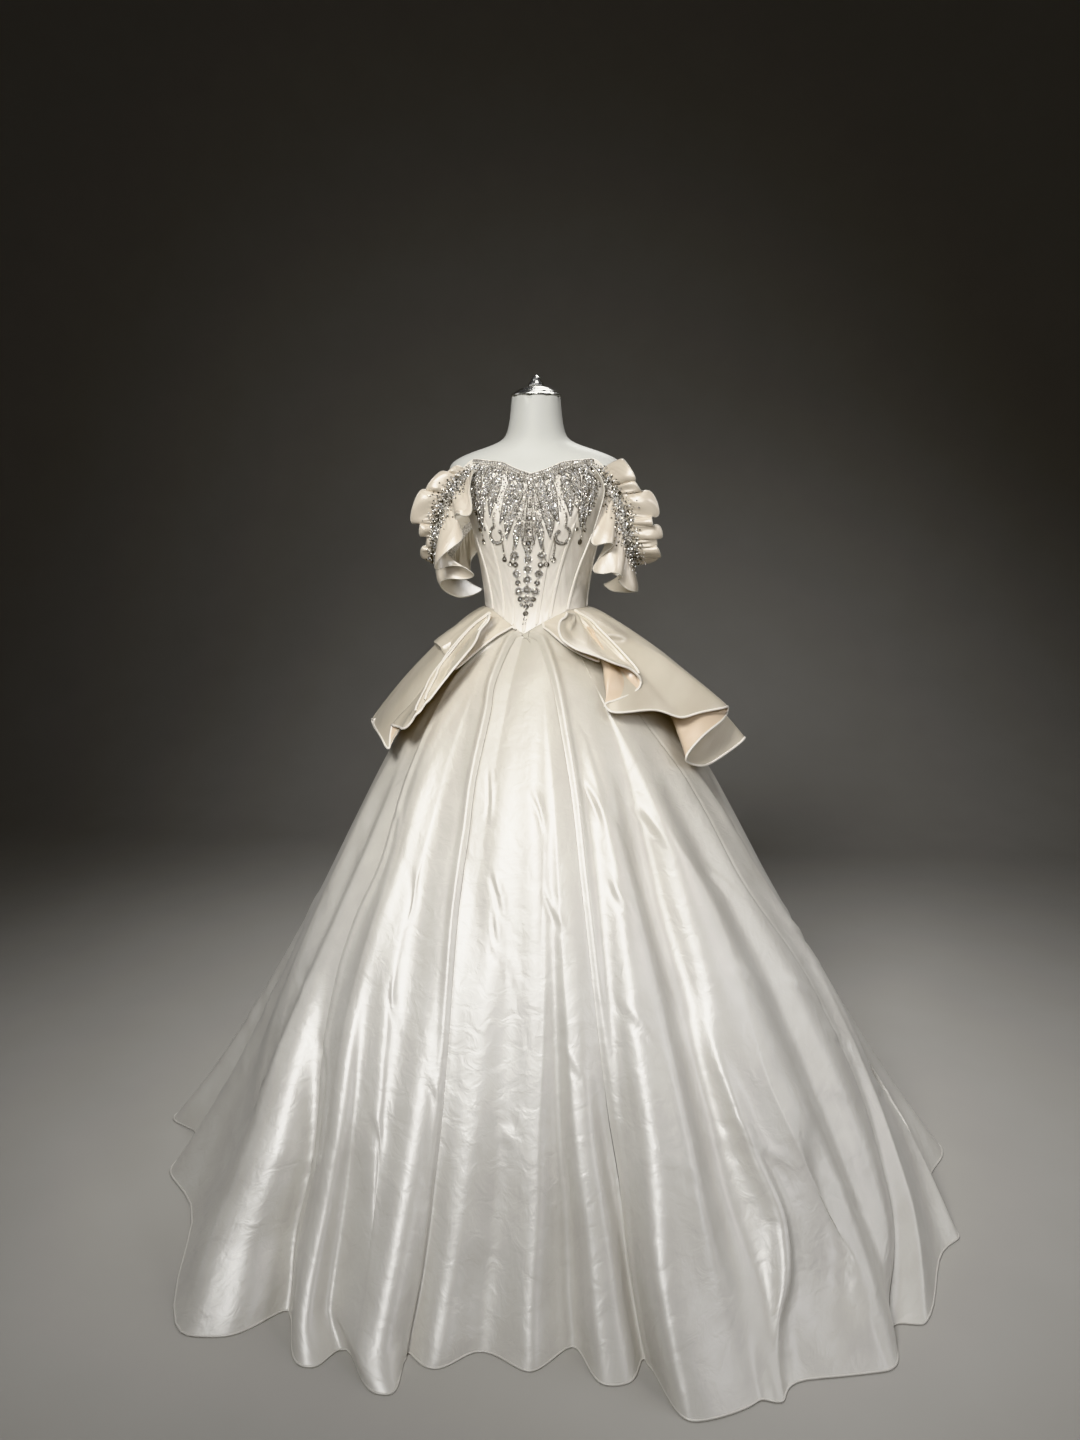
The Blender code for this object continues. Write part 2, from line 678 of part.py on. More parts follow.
def build_bodice(ivory):
    # The centre panel spans the centre front, so it has twice the columns of the others
    centre = np.concatenate([panel_places(-1.0, 0.0), panel_places(0.0, 1.0)[1:]])
    add_panel("bodice_centre_front", centre, ivory)
    for number, name in enumerate(PANEL_NAMES, start=1):
        add_panel(f"bodice_{name}_left", panel_places(number, number + 1), ivory)
        add_panel(f"bodice_{name}_right", panel_places(-number - 1, -number), ivory)


Bone = namedtuple("Bone", "name place low high")
BONES = (
    Bone("boning_front_left", 1, 0.02, 0.58),
    Bone("boning_side_front_left", 2, 0.02, 0.60),
    Bone("boning_side_left", 3, 0.02, 0.66),
    Bone("boning_side_seam_left", 4, 0.02, 0.97),
    Bone("boning_side_back_left", 5, 0.02, 0.97),
)


def build_boning(ivory):
    for bone in BONES:
        add_bone(bone.name, bone.place, bone.low, bone.high, ivory)
        add_bone(bone.name.replace("left", "right"), -bone.place, bone.low, bone.high, ivory)
    add_bone("boning_centre_front", 0, 0.02, 0.11, ivory)


def place_width(place, share):
    # How wide one unit of panel place is, in metres
    here = on_bodice(place - 0.1, share, 0.0)
    there = on_bodice(place + 0.1, share, 0.0)
    return np.linalg.norm(there - here) / 0.2


def add_strip(name, middle, shares, widths, thickness, material):
    # A strip down the bodice: the place of its middle line and its width at each share
    half = np.array([width / 2 / place_width(*spot) for width, *spot in zip(widths, middle, shares)])
    columns = 3 if max(widths) > WIDE_STRIP else 2
    places = middle + np.linspace(-1.0, 1.0, columns)[:, None] * half
    add_overlay(name, places, np.tile(shares, (columns, 1)), thickness, material)


def row_shares(low, high, between=1):
    # Shares from high to low that hold each row of the panels, with more between the rows
    fine = 1.0 - np.arange((PANEL_ROWS - 1) * between + 1) / ((PANEL_ROWS - 1) * between)
    inside = fine[(fine < high - 0.015) & (fine > low + 0.015)]
    return np.concatenate([[high], inside, [low]])


def add_bone(name, place, low, high, material):
    shares = row_shares(low, high)
    middle = np.full(len(shares), float(place))
    add_strip(name, middle, shares, np.full(len(shares), BONE_WIDTH), BONE_THICKNESS, material)


# Beaded applique: a leaf edging along the neckline, a fan of leaves and three chains

Leaf = namedtuple("Leaf", "name top_place low_place high low width lobes")
LEAVES = (
    Leaf("beads_leaf_centre", 0.0, 0.0, 0.865, 0.50, 0.020, 1),
    Leaf("beads_leaf_inner_left", 0.30, 0.58, 0.875, 0.56, 0.017, 1),
    Leaf("beads_leaf_outer_left", 0.62, 1.28, 0.885, 0.62, 0.017, 1),
    Leaf("beads_spray_left", 1.75, 2.35, 0.885, 0.56, 0.018, 3),
    Leaf("beads_chain_left", 0.60, 0.42, 0.52, 0.24, 0.0105, 6),
    Leaf("beads_leaf_inner_right", -0.30, -0.58, 0.875, 0.56, 0.017, 1),
    Leaf("beads_leaf_outer_right", -0.62, -1.28, 0.885, 0.62, 0.017, 1),
    Leaf("beads_spray_right", -1.75, -2.35, 0.885, 0.56, 0.018, 3),
    Leaf("beads_chain_right", -0.60, -0.42, 0.52, 0.24, 0.0105, 6),
    Leaf("beads_chain_centre", 0.0, 0.0, 0.48, 0.13, 0.0115, 8),
)
EDGING_REACH = 1.25  # the neckline edging ends at this panel place on each side
EDGING_COLUMNS = 31
EDGING_SCALLOPS = 5


def build_beads(beads):
    places = np.linspace(-EDGING_REACH, EDGING_REACH, EDGING_COLUMNS)
    scallop = np.abs(np.sin(np.linspace(0.0, EDGING_SCALLOPS * math.pi, EDGING_COLUMNS)))
    depth = 0.035 + 0.035 * scallop
    shares = np.stack([np.full(EDGING_COLUMNS, 0.988), 0.988 - depth], axis=1)
    add_overlay("beads_neckline", np.tile(places[:, None], (1, 2)), shares, BEAD_THICKNESS, beads)

    for leaf in LEAVES:
        shares = row_shares(leaf.low, leaf.high, between=1 if leaf.lobes == 1 else 5)
        down = (leaf.high - shares) / (leaf.high - leaf.low)
        middle = leaf.top_place + (leaf.low_place - leaf.top_place) * down
        lobes = np.abs(np.sin(math.pi * leaf.lobes * down))
        taper = 1.0 - 0.5 * down * (leaf.lobes > 1)
        widths = leaf.width * taper * (0.3 + 0.7 * lobes)
        add_strip(leaf.name, middle, shares, widths, BEAD_THICKNESS, beads)


# Skirt


def round_the_skirt(values, turn=0.0):
    # A periodic curve through four values for each fold
    flat = np.asarray(values, float).reshape(-1)
    wrapped = np.concatenate([flat[-8:] - turn, flat, flat[:8] + turn])
    places = (np.arange(len(wrapped)) - 8) / FOLD_POINTS
    return smooth_curve(places, wrapped)


def fold_uppers():
    crests = np.array([fold.upper for fold in FOLDS])
    valleys = (crests + np.concatenate([[crests[-1] - 360.0], crests[:-1]])) / 2
    next_valleys = np.concatenate([valleys[1:], [valleys[0] + 360.0]])
    return np.stack(
        [valleys, 0.35 * valleys + 0.65 * crests, crests, 0.65 * crests + 0.35 * next_valleys], axis=1
    )


hem_angle = round_the_skirt(
    [(fold.valley, fold.left, (fold.left + fold.right) / 2, fold.right) for fold in FOLDS], 360.0
)
hem_reach = round_the_skirt(
    [
        (fold.dip, fold.left_reach, (fold.left_reach + fold.right_reach) / 2 + 0.006, fold.right_reach)
        for fold in FOLDS
    ]
)
upper_angle = round_the_skirt(fold_uppers(), 360.0)
fold_start = round_the_skirt([(fold.start,) * 4 for fold in FOLDS])
skirt_profile = smooth_curve(
    [row.height for row in reversed(SKIRT_PROFILE)], [row.radius for row in reversed(SKIRT_PROFILE)]
)


def waist_polygon():
    # The corners of the bodice's faceted lower edge, in one turn from the back
    count = PANEL_COLUMNS * len(BODICE_SEAMS)
    places = np.arange(-count, count) / PANEL_COLUMNS
    sections = np.array([float(seam_angles(place, 0.0)) for place in places])
    heights = waist_heights(sections)
    normals = form_normals(sections, heights)
    points = form_points(sections, heights) + normals * (FORM_CLEARANCE + WALL)
    return points, normals


WAIST_CORNERS, WAIST_NORMALS = waist_polygon()


def waist_line(angles):
    # Points and normals on the bodice's outer lower edge, at angles round the axis
    corner_angles = np.degrees(np.arctan2(WAIST_CORNERS[:, 0], -WAIST_CORNERS[:, 1]))
    corner_angles[0] = -180.0
    wrapped = (np.asarray(angles) + 180.0) % 360.0 - 180.0
    low = np.clip(np.searchsorted(corner_angles, wrapped, side="right") - 1, 0, len(corner_angles) - 1)
    high = (low + 1) % len(corner_angles)
    turns = np.radians(wrapped)
    aim_x, aim_y = np.sin(turns), -np.cos(turns)
    start, step = WAIST_CORNERS[low], WAIST_CORNERS[high] - WAIST_CORNERS[low]
    share = -(aim_x * start[:, 1] - aim_y * start[:, 0]) / (aim_x * step[:, 1] - aim_y * step[:, 0])
    normals = WAIST_NORMALS[low] + (WAIST_NORMALS[high] - WAIST_NORMALS[low]) * share[:, None]
    return start + step * share[:, None], unit(normals)


def skirt_points(places, height):
    # Points of the skirt's outer face at a height, as if the waist were level
    uppers = upper_angle(places)
    waist, _ = waist_line(uppers)
    waist_radius = np.hypot(waist[:, 0], waist[:, 1])
    roundness = ease((WAIST_HEIGHT - height) / (WAIST_HEIGHT - WAIST_BLEND_HEIGHT))
    swing = ease(1.0 - height / FOLD_TURN_HEIGHT)
    angles = uppers + (hem_angle(places) - uppers) * swing
    lean = np.radians(uppers)
    fullness = 1.0 + SIDE_LEAN * np.sin(lean) + BACK_FULLNESS * (1.0 - np.cos(lean))
    fullness = 1.0 + (fullness - 1.0) * roundness
    starts = fold_start(places)
    growth = np.clip((starts - height) / starts, 0.0, 1.0) ** FOLD_GROWTH
    level = skirt_profile(height) * fullness
    hem_level = skirt_profile(0.0) * fullness
    radii = level + (hem_reach(places) - hem_level) * growth
    radii = radii + (1.0 - roundness) * (waist_radius - skirt_profile(WAIST_HEIGHT))
    turns = np.radians(angles)
    heights = height / WAIST_HEIGHT * waist[:, 2]
    return np.stack([radii * np.sin(turns), -radii * np.cos(turns), heights], axis=-1)


def skirt_grid(places):
    outer = np.stack([skirt_points(places, height) for height in SKIRT_ROWS], axis=1)
    margin = 0.05
    before = np.stack([skirt_points(places - margin, height) for height in SKIRT_ROWS], axis=1)
    after = np.stack([skirt_points(places + margin, height) for height in SKIRT_ROWS], axis=1)
    down = np.gradient(outer, axis=1)
    normals = unit(np.cross(down, after - before))
    _, waist_normals = waist_line(upper_angle(places))
    normals[:, 0] = waist_normals
    normals[:, -1, 2] = 0.0
    normals[:, -1] = unit(normals[:, -1])
    outer[:, 0, 2] -= SEAM_GAP + 0.0001
    return outer, outer - normals * WALL


def build_skirt(ivory):
    for gore in GORES:
        columns = gore.folds * gore.steps + 1
        places = gore.first_fold + np.arange(columns) / gore.steps
        outer, inner = skirt_grid(places)
        for grid in (outer, inner):
            part_at_seam(grid, "first")
            part_at_seam(grid, "last")
        add_wall(gore.name, outer, inner, ivory)


# Peplum


def skirt_radii(angles, heights):
    # How far the skirt's outer face is from the axis, at angles and heights below the waist
    places = np.arange(len(FOLDS) * FOLD_POINTS + 1) / FOLD_POINTS
    waist, _ = waist_line(angles)
    level_heights = heights * WAIST_HEIGHT / waist[:, 2]
    radii = []
    for angle, height in zip(angles, level_heights):
        ring = skirt_points(places, min(height, WAIST_HEIGHT))
        ring_angles = np.degrees(np.arctan2(ring[:, 0], -ring[:, 1]))
        ring_radii = np.hypot(ring[:, 0], ring[:, 1])
        order = np.argsort(ring_angles)
        radii.append(np.interp(angle, ring_angles[order], ring_radii[order], period=360.0))
    return np.array(radii)


def peplum_grid(table, sign):
    rows = np.arange(len(table))
    columns = np.arange(PEPLUM_STEPS * (len(table) - 1) + 1) / PEPLUM_STEPS
    falls_from = smooth_curve(rows, [row.waist_angle for row in table])(columns)
    edge_angle = smooth_curve(rows, [row.angle for row in table])(columns)
    edge_height = smooth_curve(rows, [row.height for row in table])(columns)
    stand_off = smooth_curve(rows, [row.stand_off for row in table])(columns)
    waist, _ = waist_line(sign * falls_from)
    waist_height = waist[:, 2] - PEPLUM_DROP
    layers = []
    for depth in PEPLUM_DEPTHS:
        angles = sign * (falls_from + (edge_angle - falls_from) * depth**1.2)
        heights = waist_height + (edge_height - waist_height) * depth
        reach = stand_off * depth**PEPLUM_BULGE
        local_waist, _ = waist_line(angles)
        heights = np.minimum(heights, local_waist[:, 2] + 0.3 * reach - PEPLUM_DROP)
        radii = skirt_radii(angles, heights) + PEPLUM_SEAT + reach
        turns = np.radians(angles)
        layers.append(np.stack([radii * np.sin(turns), -radii * np.cos(turns), heights], axis=-1))
    inner = np.stack(layers, axis=1)
    normals = grid_normals(inner) * sign
    return inner + normals * RUFFLE_WALL, inner


def build_peplum(ivory):
    for side, sign, table in (("left", 1.0, PEPLUM_LEFT), ("right", -1.0, PEPLUM_RIGHT)):
        outer, inner = peplum_grid(table + PEPLUM_BACK, sign)
        add_wall(f"peplum_{side}", outer, inner, ivory)


# Sleeves


def band_route():
    # Evenly spaced points along the wearer's left band, with its outward normals
    start, start_normal = bodice_spot(*BAND_FRONT)
    end, end_normal = bodice_spot(*BAND_BACK)
    middle = [np.array([point.across, -point.forward, point.height]) for point in SLEEVE_BAND]
    knots = np.array([start + start_normal * BAND_SEAT, *middle, end + end_normal * BAND_SEAT])
    lengths = np.concatenate([[0.0], np.cumsum(np.linalg.norm(np.diff(knots, axis=0), axis=1))])
    shares = lengths / lengths[-1]
    curves = [smooth_curve(shares, knots[:, axis]) for axis in range(3)]
    return curves, start_normal, end_normal


def band_sections():
    # Centre points, outward normals and upward directions of the band's own sections
    curves, start_normal, end_normal = band_route()
    margin = 0.01
    alongs = np.linspace(0.0, 1.0, BAND_COLUMNS + 1)
    centre = np.stack([curve(alongs) for curve in curves], axis=-1)
    ahead = np.stack([curve(np.minimum(alongs + margin, 1.0)) for curve in curves], axis=-1)
    behind = np.stack([curve(np.maximum(alongs - margin, 0.0)) for curve in curves], axis=-1)
    tangent = unit(ahead - behind)
    outward = centre - np.array([ARM_AXIS, 0.0, 0.0])
    outward[:, 2] = 0.0
    outward = unit(outward)
    near_start = (1.0 - ease(alongs / BAND_TURN))[:, None]
    near_end = (1.0 - ease((1.0 - alongs) / BAND_TURN))[:, None]
    outward = outward * (1.0 - near_start - near_end) + start_normal * near_start + end_normal * near_end
    outward = unit(outward - np.sum(outward * tangent, axis=-1, keepdims=True) * tangent)
    return centre, outward, np.cross(outward, tangent)


def along_band(alongs):
    # The same between the band's sections, on its straight facets
    own = np.linspace(0.0, 1.0, BAND_COLUMNS + 1)
    return [
        np.stack([np.interp(alongs, own, values[:, axis]) for axis in range(3)], axis=-1)
        for values in band_sections()
    ]


def mirrored(points, sign):
    return points * np.array([sign, 1.0, 1.0])


def add_band(name, sign, beads):
    centre, outward, upward = band_sections()
    low = centre - upward * BAND_WIDTH / 2
    high = centre + upward * BAND_WIDTH / 2
    inner = np.stack([high, low], axis=1)
    outer = inner + outward[:, None, :] * WALL
    add_wall(name, mirrored(outer, sign), mirrored(inner, sign), beads)


def add_ruffle(name, rows, root_row, root_normals, sign, satin_cloth):
    # A ruffle through rows of points, sewn to its band along the root row
    inner = np.stack(rows, axis=1)
    normals = grid_normals(inner)
    normals[:, root_row] = root_normals
    outer = inner + normals * RUFFLE_WALL
    add_wall(name, mirrored(outer, sign), mirrored(inner, sign), satin_cloth)


def add_upper_ruffle(name, sign, phase, widths, satin_cloth):
    # A gathered ruffle that stands outwards from the band's upper edge
    alongs = np.arange(2, RUFFLE_COLUMNS - 1) / RUFFLE_COLUMNS
    centre, outward, upward = along_band(alongs)
    root = centre + upward * (BAND_WIDTH / 2 + SEAM_GAP)
    aim = unit(upward * 0.8 + outward * 0.35 + np.array([0.55, 0.0, 0.15]))
    tangent = np.cross(upward, outward)
    across = unit(np.cross(tangent, aim))
    width = smooth_curve([row.along for row in widths], [row.width for row in widths])(alongs)
    wave = 2 * math.pi * UPPER_WAVES * alongs + phase
    rows = []
    for depth in RUFFLE_DEPTHS:
        swell = UPPER_SWELL * depth**0.8 * np.sin(wave)
        curl = UPPER_CURL * depth * np.sin(2 * wave)
        rows.append(
            root + aim * (width * depth)[:, None] + across * swell[:, None] + tangent * curl[:, None]
        )
    add_ruffle(name, rows[::-1], -1, outward, sign, satin_cloth)


def add_lower_ruffle(name, sign, table, satin_cloth):
    # A ruffle that falls from the band's lower edge in deep folds
    alongs = np.arange(3, RUFFLE_COLUMNS - 2) / RUFFLE_COLUMNS
    places = [row.along for row in table]
    edge = np.stack(
        [
            smooth_curve(places, [row.across for row in table])(alongs),
            -smooth_curve(places, [row.forward for row in table])(alongs),
            smooth_curve(places, [row.height for row in table])(alongs),
        ],
        axis=-1,
    )
    centre, outward, upward = along_band(alongs)
    root = centre - upward * (BAND_WIDTH / 2 + SEAM_GAP)
    layers = []
    for depth in RUFFLE_DEPTHS:
        bulge = LOWER_BULGE * math.sin(math.pi * depth)
        layers.append(root + (edge - root) * depth + outward * bulge)
    add_ruffle(name, layers, 0, outward, sign, satin_cloth)


def build_sleeves(ivory, beads):
    for side, sign, phase, widths, table in (
        ("left", 1.0, 0.4, UPPER_LEFT, LOWER_LEFT),
        ("right", -1.0, 1.3, UPPER_RIGHT, LOWER_RIGHT),
    ):
        add_band(f"sleeve_band_{side}", sign, beads)
        add_upper_ruffle(f"sleeve_upper_ruffle_{side}", sign, phase, widths, ivory)
        add_lower_ruffle(f"sleeve_lower_ruffle_{side}", sign, table, ivory)


def main():
    for thing in list(bpy.data.objects):
        bpy.data.objects.remove(thing, do_unlink=True)
    ivory = satin("ivory_satin", IVORY_SATIN, 0.35)
    champagne = satin("champagne_satin", CHAMPAGNE_SATIN, 0.38)
    beads = satin("silver_beads", SILVER_BEADS, 0.30, 0.4)
    white = satin("form_white", FORM_WHITE, 0.55)
    silver = satin("polished_silver", POLISHED_SILVER, 0.20, 1.0)
    steel = satin("stand_steel", STAND_STEEL, 0.40, 1.0)
    build_dress_form(white, silver, steel)
    build_bodice(ivory)
    build_boning(champagne)
    build_beads(beads)
    build_skirt(ivory)
    build_peplum(champagne)
    build_sleeves(ivory, beads)


main()
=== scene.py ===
# A ball gown on a limbless dress form, dressed piece by piece over its solid model.
# Metres, +Z up, the front faces -Y, the wearer's left is +X. Angles are degrees round the
# Z axis from the front towards +X.
import math

import bpy
import numpy as np
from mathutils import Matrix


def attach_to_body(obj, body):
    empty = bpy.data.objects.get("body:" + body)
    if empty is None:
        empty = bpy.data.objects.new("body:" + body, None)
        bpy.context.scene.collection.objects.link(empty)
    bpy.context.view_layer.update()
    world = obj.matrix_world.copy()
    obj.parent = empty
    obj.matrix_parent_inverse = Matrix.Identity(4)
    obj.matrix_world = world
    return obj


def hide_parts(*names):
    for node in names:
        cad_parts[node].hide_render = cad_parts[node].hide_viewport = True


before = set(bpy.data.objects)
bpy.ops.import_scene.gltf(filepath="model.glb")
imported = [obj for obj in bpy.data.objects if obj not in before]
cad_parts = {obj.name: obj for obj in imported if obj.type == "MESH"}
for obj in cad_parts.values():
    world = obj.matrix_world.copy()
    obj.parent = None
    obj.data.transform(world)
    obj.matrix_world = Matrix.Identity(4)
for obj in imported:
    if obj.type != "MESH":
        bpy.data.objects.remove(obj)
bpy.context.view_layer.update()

bpy.ops.object.select_all(action="DESELECT")
print("frame loaded:", len(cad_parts), "nodes")

# Camera and light

camera = {
    "distance": 2.385, "height": 1.31, "aside": 0.008, "turn": 6.0, "tilt": 10.3, "lens": 28.33,
}
studio = {
    "worldColour": "#e9eaee", "worldLight": 0.09,
    # the paper sweep: its near edge, the wall behind, the radius between them, height, half width
    "paperColour": "#b9b6b0", "nearEdge": -9.0, "wallDistance": 3.6, "sweep": 1.6,
    "wallHeight": 5.5, "halfWidth": 9.0,
    # each softbox: spot, aim, size, power, beam and colour
    "softboxes": {
        "keySoftbox": ((-0.6, -2.2, 2.6), (0, -0.3, 0.88), (0.8, 0.8), 9.7, 66, "#ffffff"),
        "frontSoftbox": ((0.3, -2.9, 1.75), (0, -0.1, 1.32), (0.7, 0.7), 1.45, 44, "#ffffff"),
        "fillSoftbox": ((2.3, -1.7, 2.1), (0.4, -0.1, 0.7), (0.7, 0.9), 4.3, 100, "#fbfaff"),
        "topSoftbox": ((0.2, -0.5, 3.6), (0, -0.1, 0.9), (1.2, 1.2), 3.0, 120, "#ffffff"),
        "backSoftbox": ((0.3, 2.1, 3.6), (0, 0.35, 0.7), (1.2, 1.2), 5.5, 55, "#ffffff"),
        "leftStrip": ((-2.9, 0.0, 1.7), (0, 0, 0.8), (1.1, 2.0), 4.0, 180, "#ffffff"),
        "rightStrip": ((2.8, -0.3, 1.7), (0.3, 0, 0.5), (0.8, 2.0), 8.0, 150, "#ffffff"),
    },
}


def linearColour(hexCode):
    # sRGB hex to the linear values that shaders take
    shares = [int(hexCode[i:i + 2], 16) / 255 for i in (1, 3, 5)]
    return tuple(s / 12.92 if s <= 0.04045 else ((s + 0.055) / 1.055) ** 2.4
                 for s in shares) + (1.0,)


def addObject(name, data):
    thing = bpy.data.objects.new(name, data)
    bpy.context.scene.collection.objects.link(thing)
    return thing


def addCamera():
    turn = math.radians(camera["turn"])
    back, aside = camera["distance"], camera["aside"]
    lens = bpy.data.cameras.new("camera")
    lens.lens = camera["lens"]
    eye = addObject("camera", lens)
    eye.location = (back * math.sin(turn) + aside * math.cos(turn),
                    -back * math.cos(turn) + aside * math.sin(turn), camera["height"])
    eye.rotation_euler = (math.radians(90 - camera["tilt"]), 0.0, turn)
    bpy.context.scene.camera = eye


def addSoftbox(name, spot, aim, size, power, beam, colour):
    light = bpy.data.lights.new(name, "AREA")
    light.shape = "RECTANGLE"
    light.size, light.size_y = size
    light.energy = power
    light.spread = math.radians(beam)  # a grid on the softbox narrows its beam
    light.color = linearColour(colour)[:3]
    box = addObject(name, light)
    x, y, z = np.array(aim) - np.array(spot)
    box.location = spot
    box.rotation_euler = (math.atan2(math.hypot(x, y), -z), 0.0, math.atan2(-x, y))


def addWorld():
    world = bpy.data.worlds.new("studioWorld")
    world.use_nodes = True
    background = world.node_tree.nodes["Background"].inputs
    background["Color"].default_value = linearColour(studio["worldColour"])
    background["Strength"].default_value = studio["worldLight"]
    bpy.context.scene.world = world


addCamera()
for boxName, boxSettings in studio["softboxes"].items():
    addSoftbox(boxName, *boxSettings)
addWorld()

# Materials


def linkNode(tree, node, links):
    # Each socket takes the first output of a node, or the output named beside it
    for key, source in links.items():
        other, output = source if isinstance(source, tuple) else (source, 0)
        tree.links.new(other.outputs[output], node.inputs[key])


def addNode(tree, kind, settings=None, links=None):
    # Settings go to a ramp's stops, to the sockets of those names, or else to the node itself
    node = tree.nodes.new(kind)
    for key, value in (settings or {}).items():
        if key == "stops":
            stops = node.color_ramp.elements
            for number, (place, colour) in enumerate(value):
                stop = stops[number] if number < 2 else stops.new(place)
                stop.position, stop.color = place, linearColour(colour)
        elif isinstance(key, int) or key in node.inputs:
            node.inputs[key].default_value = value
        else:
            setattr(node, key, value)
    linkNode(tree, node, links or {})
    return node


def newMaterial(name, colour, surface):
    material = bpy.data.materials.new(name)
    material.use_nodes = True
    material.diffuse_color = linearColour(colour)
    tree = material.node_tree
    shader = tree.nodes["Principled BSDF"]
    for key, value in {"Base Color": linearColour(colour), **surface}.items():
        shader.inputs[key].default_value = value
    return material, tree, shader


def satinCloth(name, light, dark, roughness, crinkle, paintedWaistShade=None, swellSize=0.2):
    # Duchesse satin, woven with long floats: a smooth cloth that gives broad soft highlights,
    # faint streaks along its warp and a slightly uneven crumple; painted shade may warm it to the
    # waist
    material, tree, shader = newMaterial(name, light, {
        "Roughness": roughness, "Sheen Weight": 0.06, "Sheen Roughness": 0.4, "IOR": 1.6,
        "Specular IOR Level": 1.0, "Coat Weight": 0.4, "Coat Roughness": 0.34})
    flat = addNode(tree, "ShaderNodeUVMap", {"uv_map": "flatCloth"})
    # Warp streaks 2 mm wide and 120 mm long; the threads, 0.1 mm apart, are too fine to show
    warp = addNode(tree, "ShaderNodeMapping", {"Scale": (500.0, 8.0, 1.0)}, {"Vector": flat})
    streaks = addNode(tree, "ShaderNodeTexNoise", {"Scale": 1.0, "Detail": 2.0}, {"Vector": warp})
    # Soft patches 90 mm across where the cloth has been handled
    patches = addNode(tree, "ShaderNodeTexNoise", {"Scale": 11.0, "Detail": 2.0}, {"Vector": flat})
    blend = addNode(tree, "ShaderNodeMath", {"operation": "MULTIPLY_ADD", 1: 0.15},
                    {0: streaks, 2: patches})
    colour = addNode(tree, "ShaderNodeValToRGB", {"stops": [(0.35, dark), (0.95, light)]},
                     {"Fac": blend})
    # Painted shade: from 0.45 m up to the waist and above it, the colour is multiplied by a warm
    # tint that stands in for the shade near the waist and the warm light that the peplum bounces
    # there
    if paintedWaistShade:
        place = addNode(tree, "ShaderNodeTexCoord")
        height = addNode(tree, "ShaderNodeSeparateXYZ", None, {"Vector": (place, "Object")})
        waistShadeShare = addNode(tree, "ShaderNodeMapRange", {"From Min": 0.45, "From Max": 1.05},
                         {"Value": (height, "Z")})
        tint = addNode(tree, "ShaderNodeValToRGB", {"stops": [(0.0, "#ffffff"), (1.0, paintedWaistShade)]},
                       {"Fac": waistShadeShare})
        colour = addNode(tree, "ShaderNodeVectorMath", {"operation": "MULTIPLY"},
                         {0: colour, 1: tint})
    # Polish varies a little between the floats
    polish = addNode(tree, "ShaderNodeMapRange", {
        "From Min": 0.3, "From Max": 0.7, "To Min": roughness - 0.015,
        "To Max": roughness + 0.02}, {"Value": streaks})
    # Crumple: dents 30 mm across and finer ones of 7 mm
    dents = addNode(tree, "ShaderNodeTexNoise", {
        "Scale": 33.0, "Detail": 3.0, "Roughness": 0.5, "Distortion": 0.6}, {"Vector": flat})
    # Slack in the cloth: soft swells, 200 mm wide on the skirt and nearly three times as long
    slack = addNode(tree, "ShaderNodeMapping", {"Scale": (1 / swellSize, 0.36 / swellSize, 1.0)},
                    {"Vector": flat})
    swells = addNode(tree, "ShaderNodeTexNoise", {"Scale": 1.0, "Detail": 1.0, "Distortion": 0.4},
                     {"Vector": slack})
    relief = None
    for height, depth in ((swells, crinkle * 5), (dents, crinkle), (streaks, 0.00001)):
        relief = addNode(tree, "ShaderNodeBump", {"Strength": 1.0, "Distance": depth},
                         {"Height": height, **({"Normal": relief} if relief else {})})
    linkNode(tree, shader, {"Base Color": colour, "Roughness": polish, "Normal": relief})
    return material


def glassBeads(name):
    # Silver-lined glass seed beads and cut stones: small bright facets, from clear to smoky
    material, tree, shader = newMaterial(name, "#c9c4b9", {"Metallic": 0.75, "Roughness": 0.16})
    tone = addNode(tree, "ShaderNodeAttribute", {"attribute_name": "tone"})
    colour = addNode(tree, "ShaderNodeValToRGB", {
        "stops": [(0.0, "#6b655b"), (1.0, "#ffffff"), (0.55, "#cfcabf")]}, {"Fac": (tone, "Fac")})
    linkNode(tree, shader, {"Base Color": colour})
    return material


def silverNet(name):
    # Nude net worked over with silver thread: a dull grey ground, ribbed by stitches 1.6 mm apart
    material, tree, shader = newMaterial(name, "#b9b2a4", {"Metallic": 0.25, "Roughness": 0.45})
    flat = addNode(tree, "ShaderNodeUVMap", {"uv_map": "flatCloth"})
    slant = addNode(tree, "ShaderNodeMapping", {"Rotation": (0.0, 0.0, 0.7)}, {"Vector": flat})
    stitches = addNode(tree, "ShaderNodeTexWave",
                       {"Scale": 200.0, "Distortion": 2.0, "Detail": 2.0}, {"Vector": slant})
    speckle = addNode(tree, "ShaderNodeTexNoise", {"Scale": 420.0, "Detail": 2.0}, {"Vector": flat})
    colour = addNode(tree, "ShaderNodeValToRGB", {"stops": [(0.38, "#a0988b"), (0.66, "#ebe6dc")]},
                     {"Fac": speckle})
    ribs = addNode(tree, "ShaderNodeBump", {"Strength": 1.0, "Distance": 0.0003},
                   {"Height": (stitches, "Fac")})
    linkNode(tree, shader, {"Base Color": colour, "Normal": ribs})
    return material


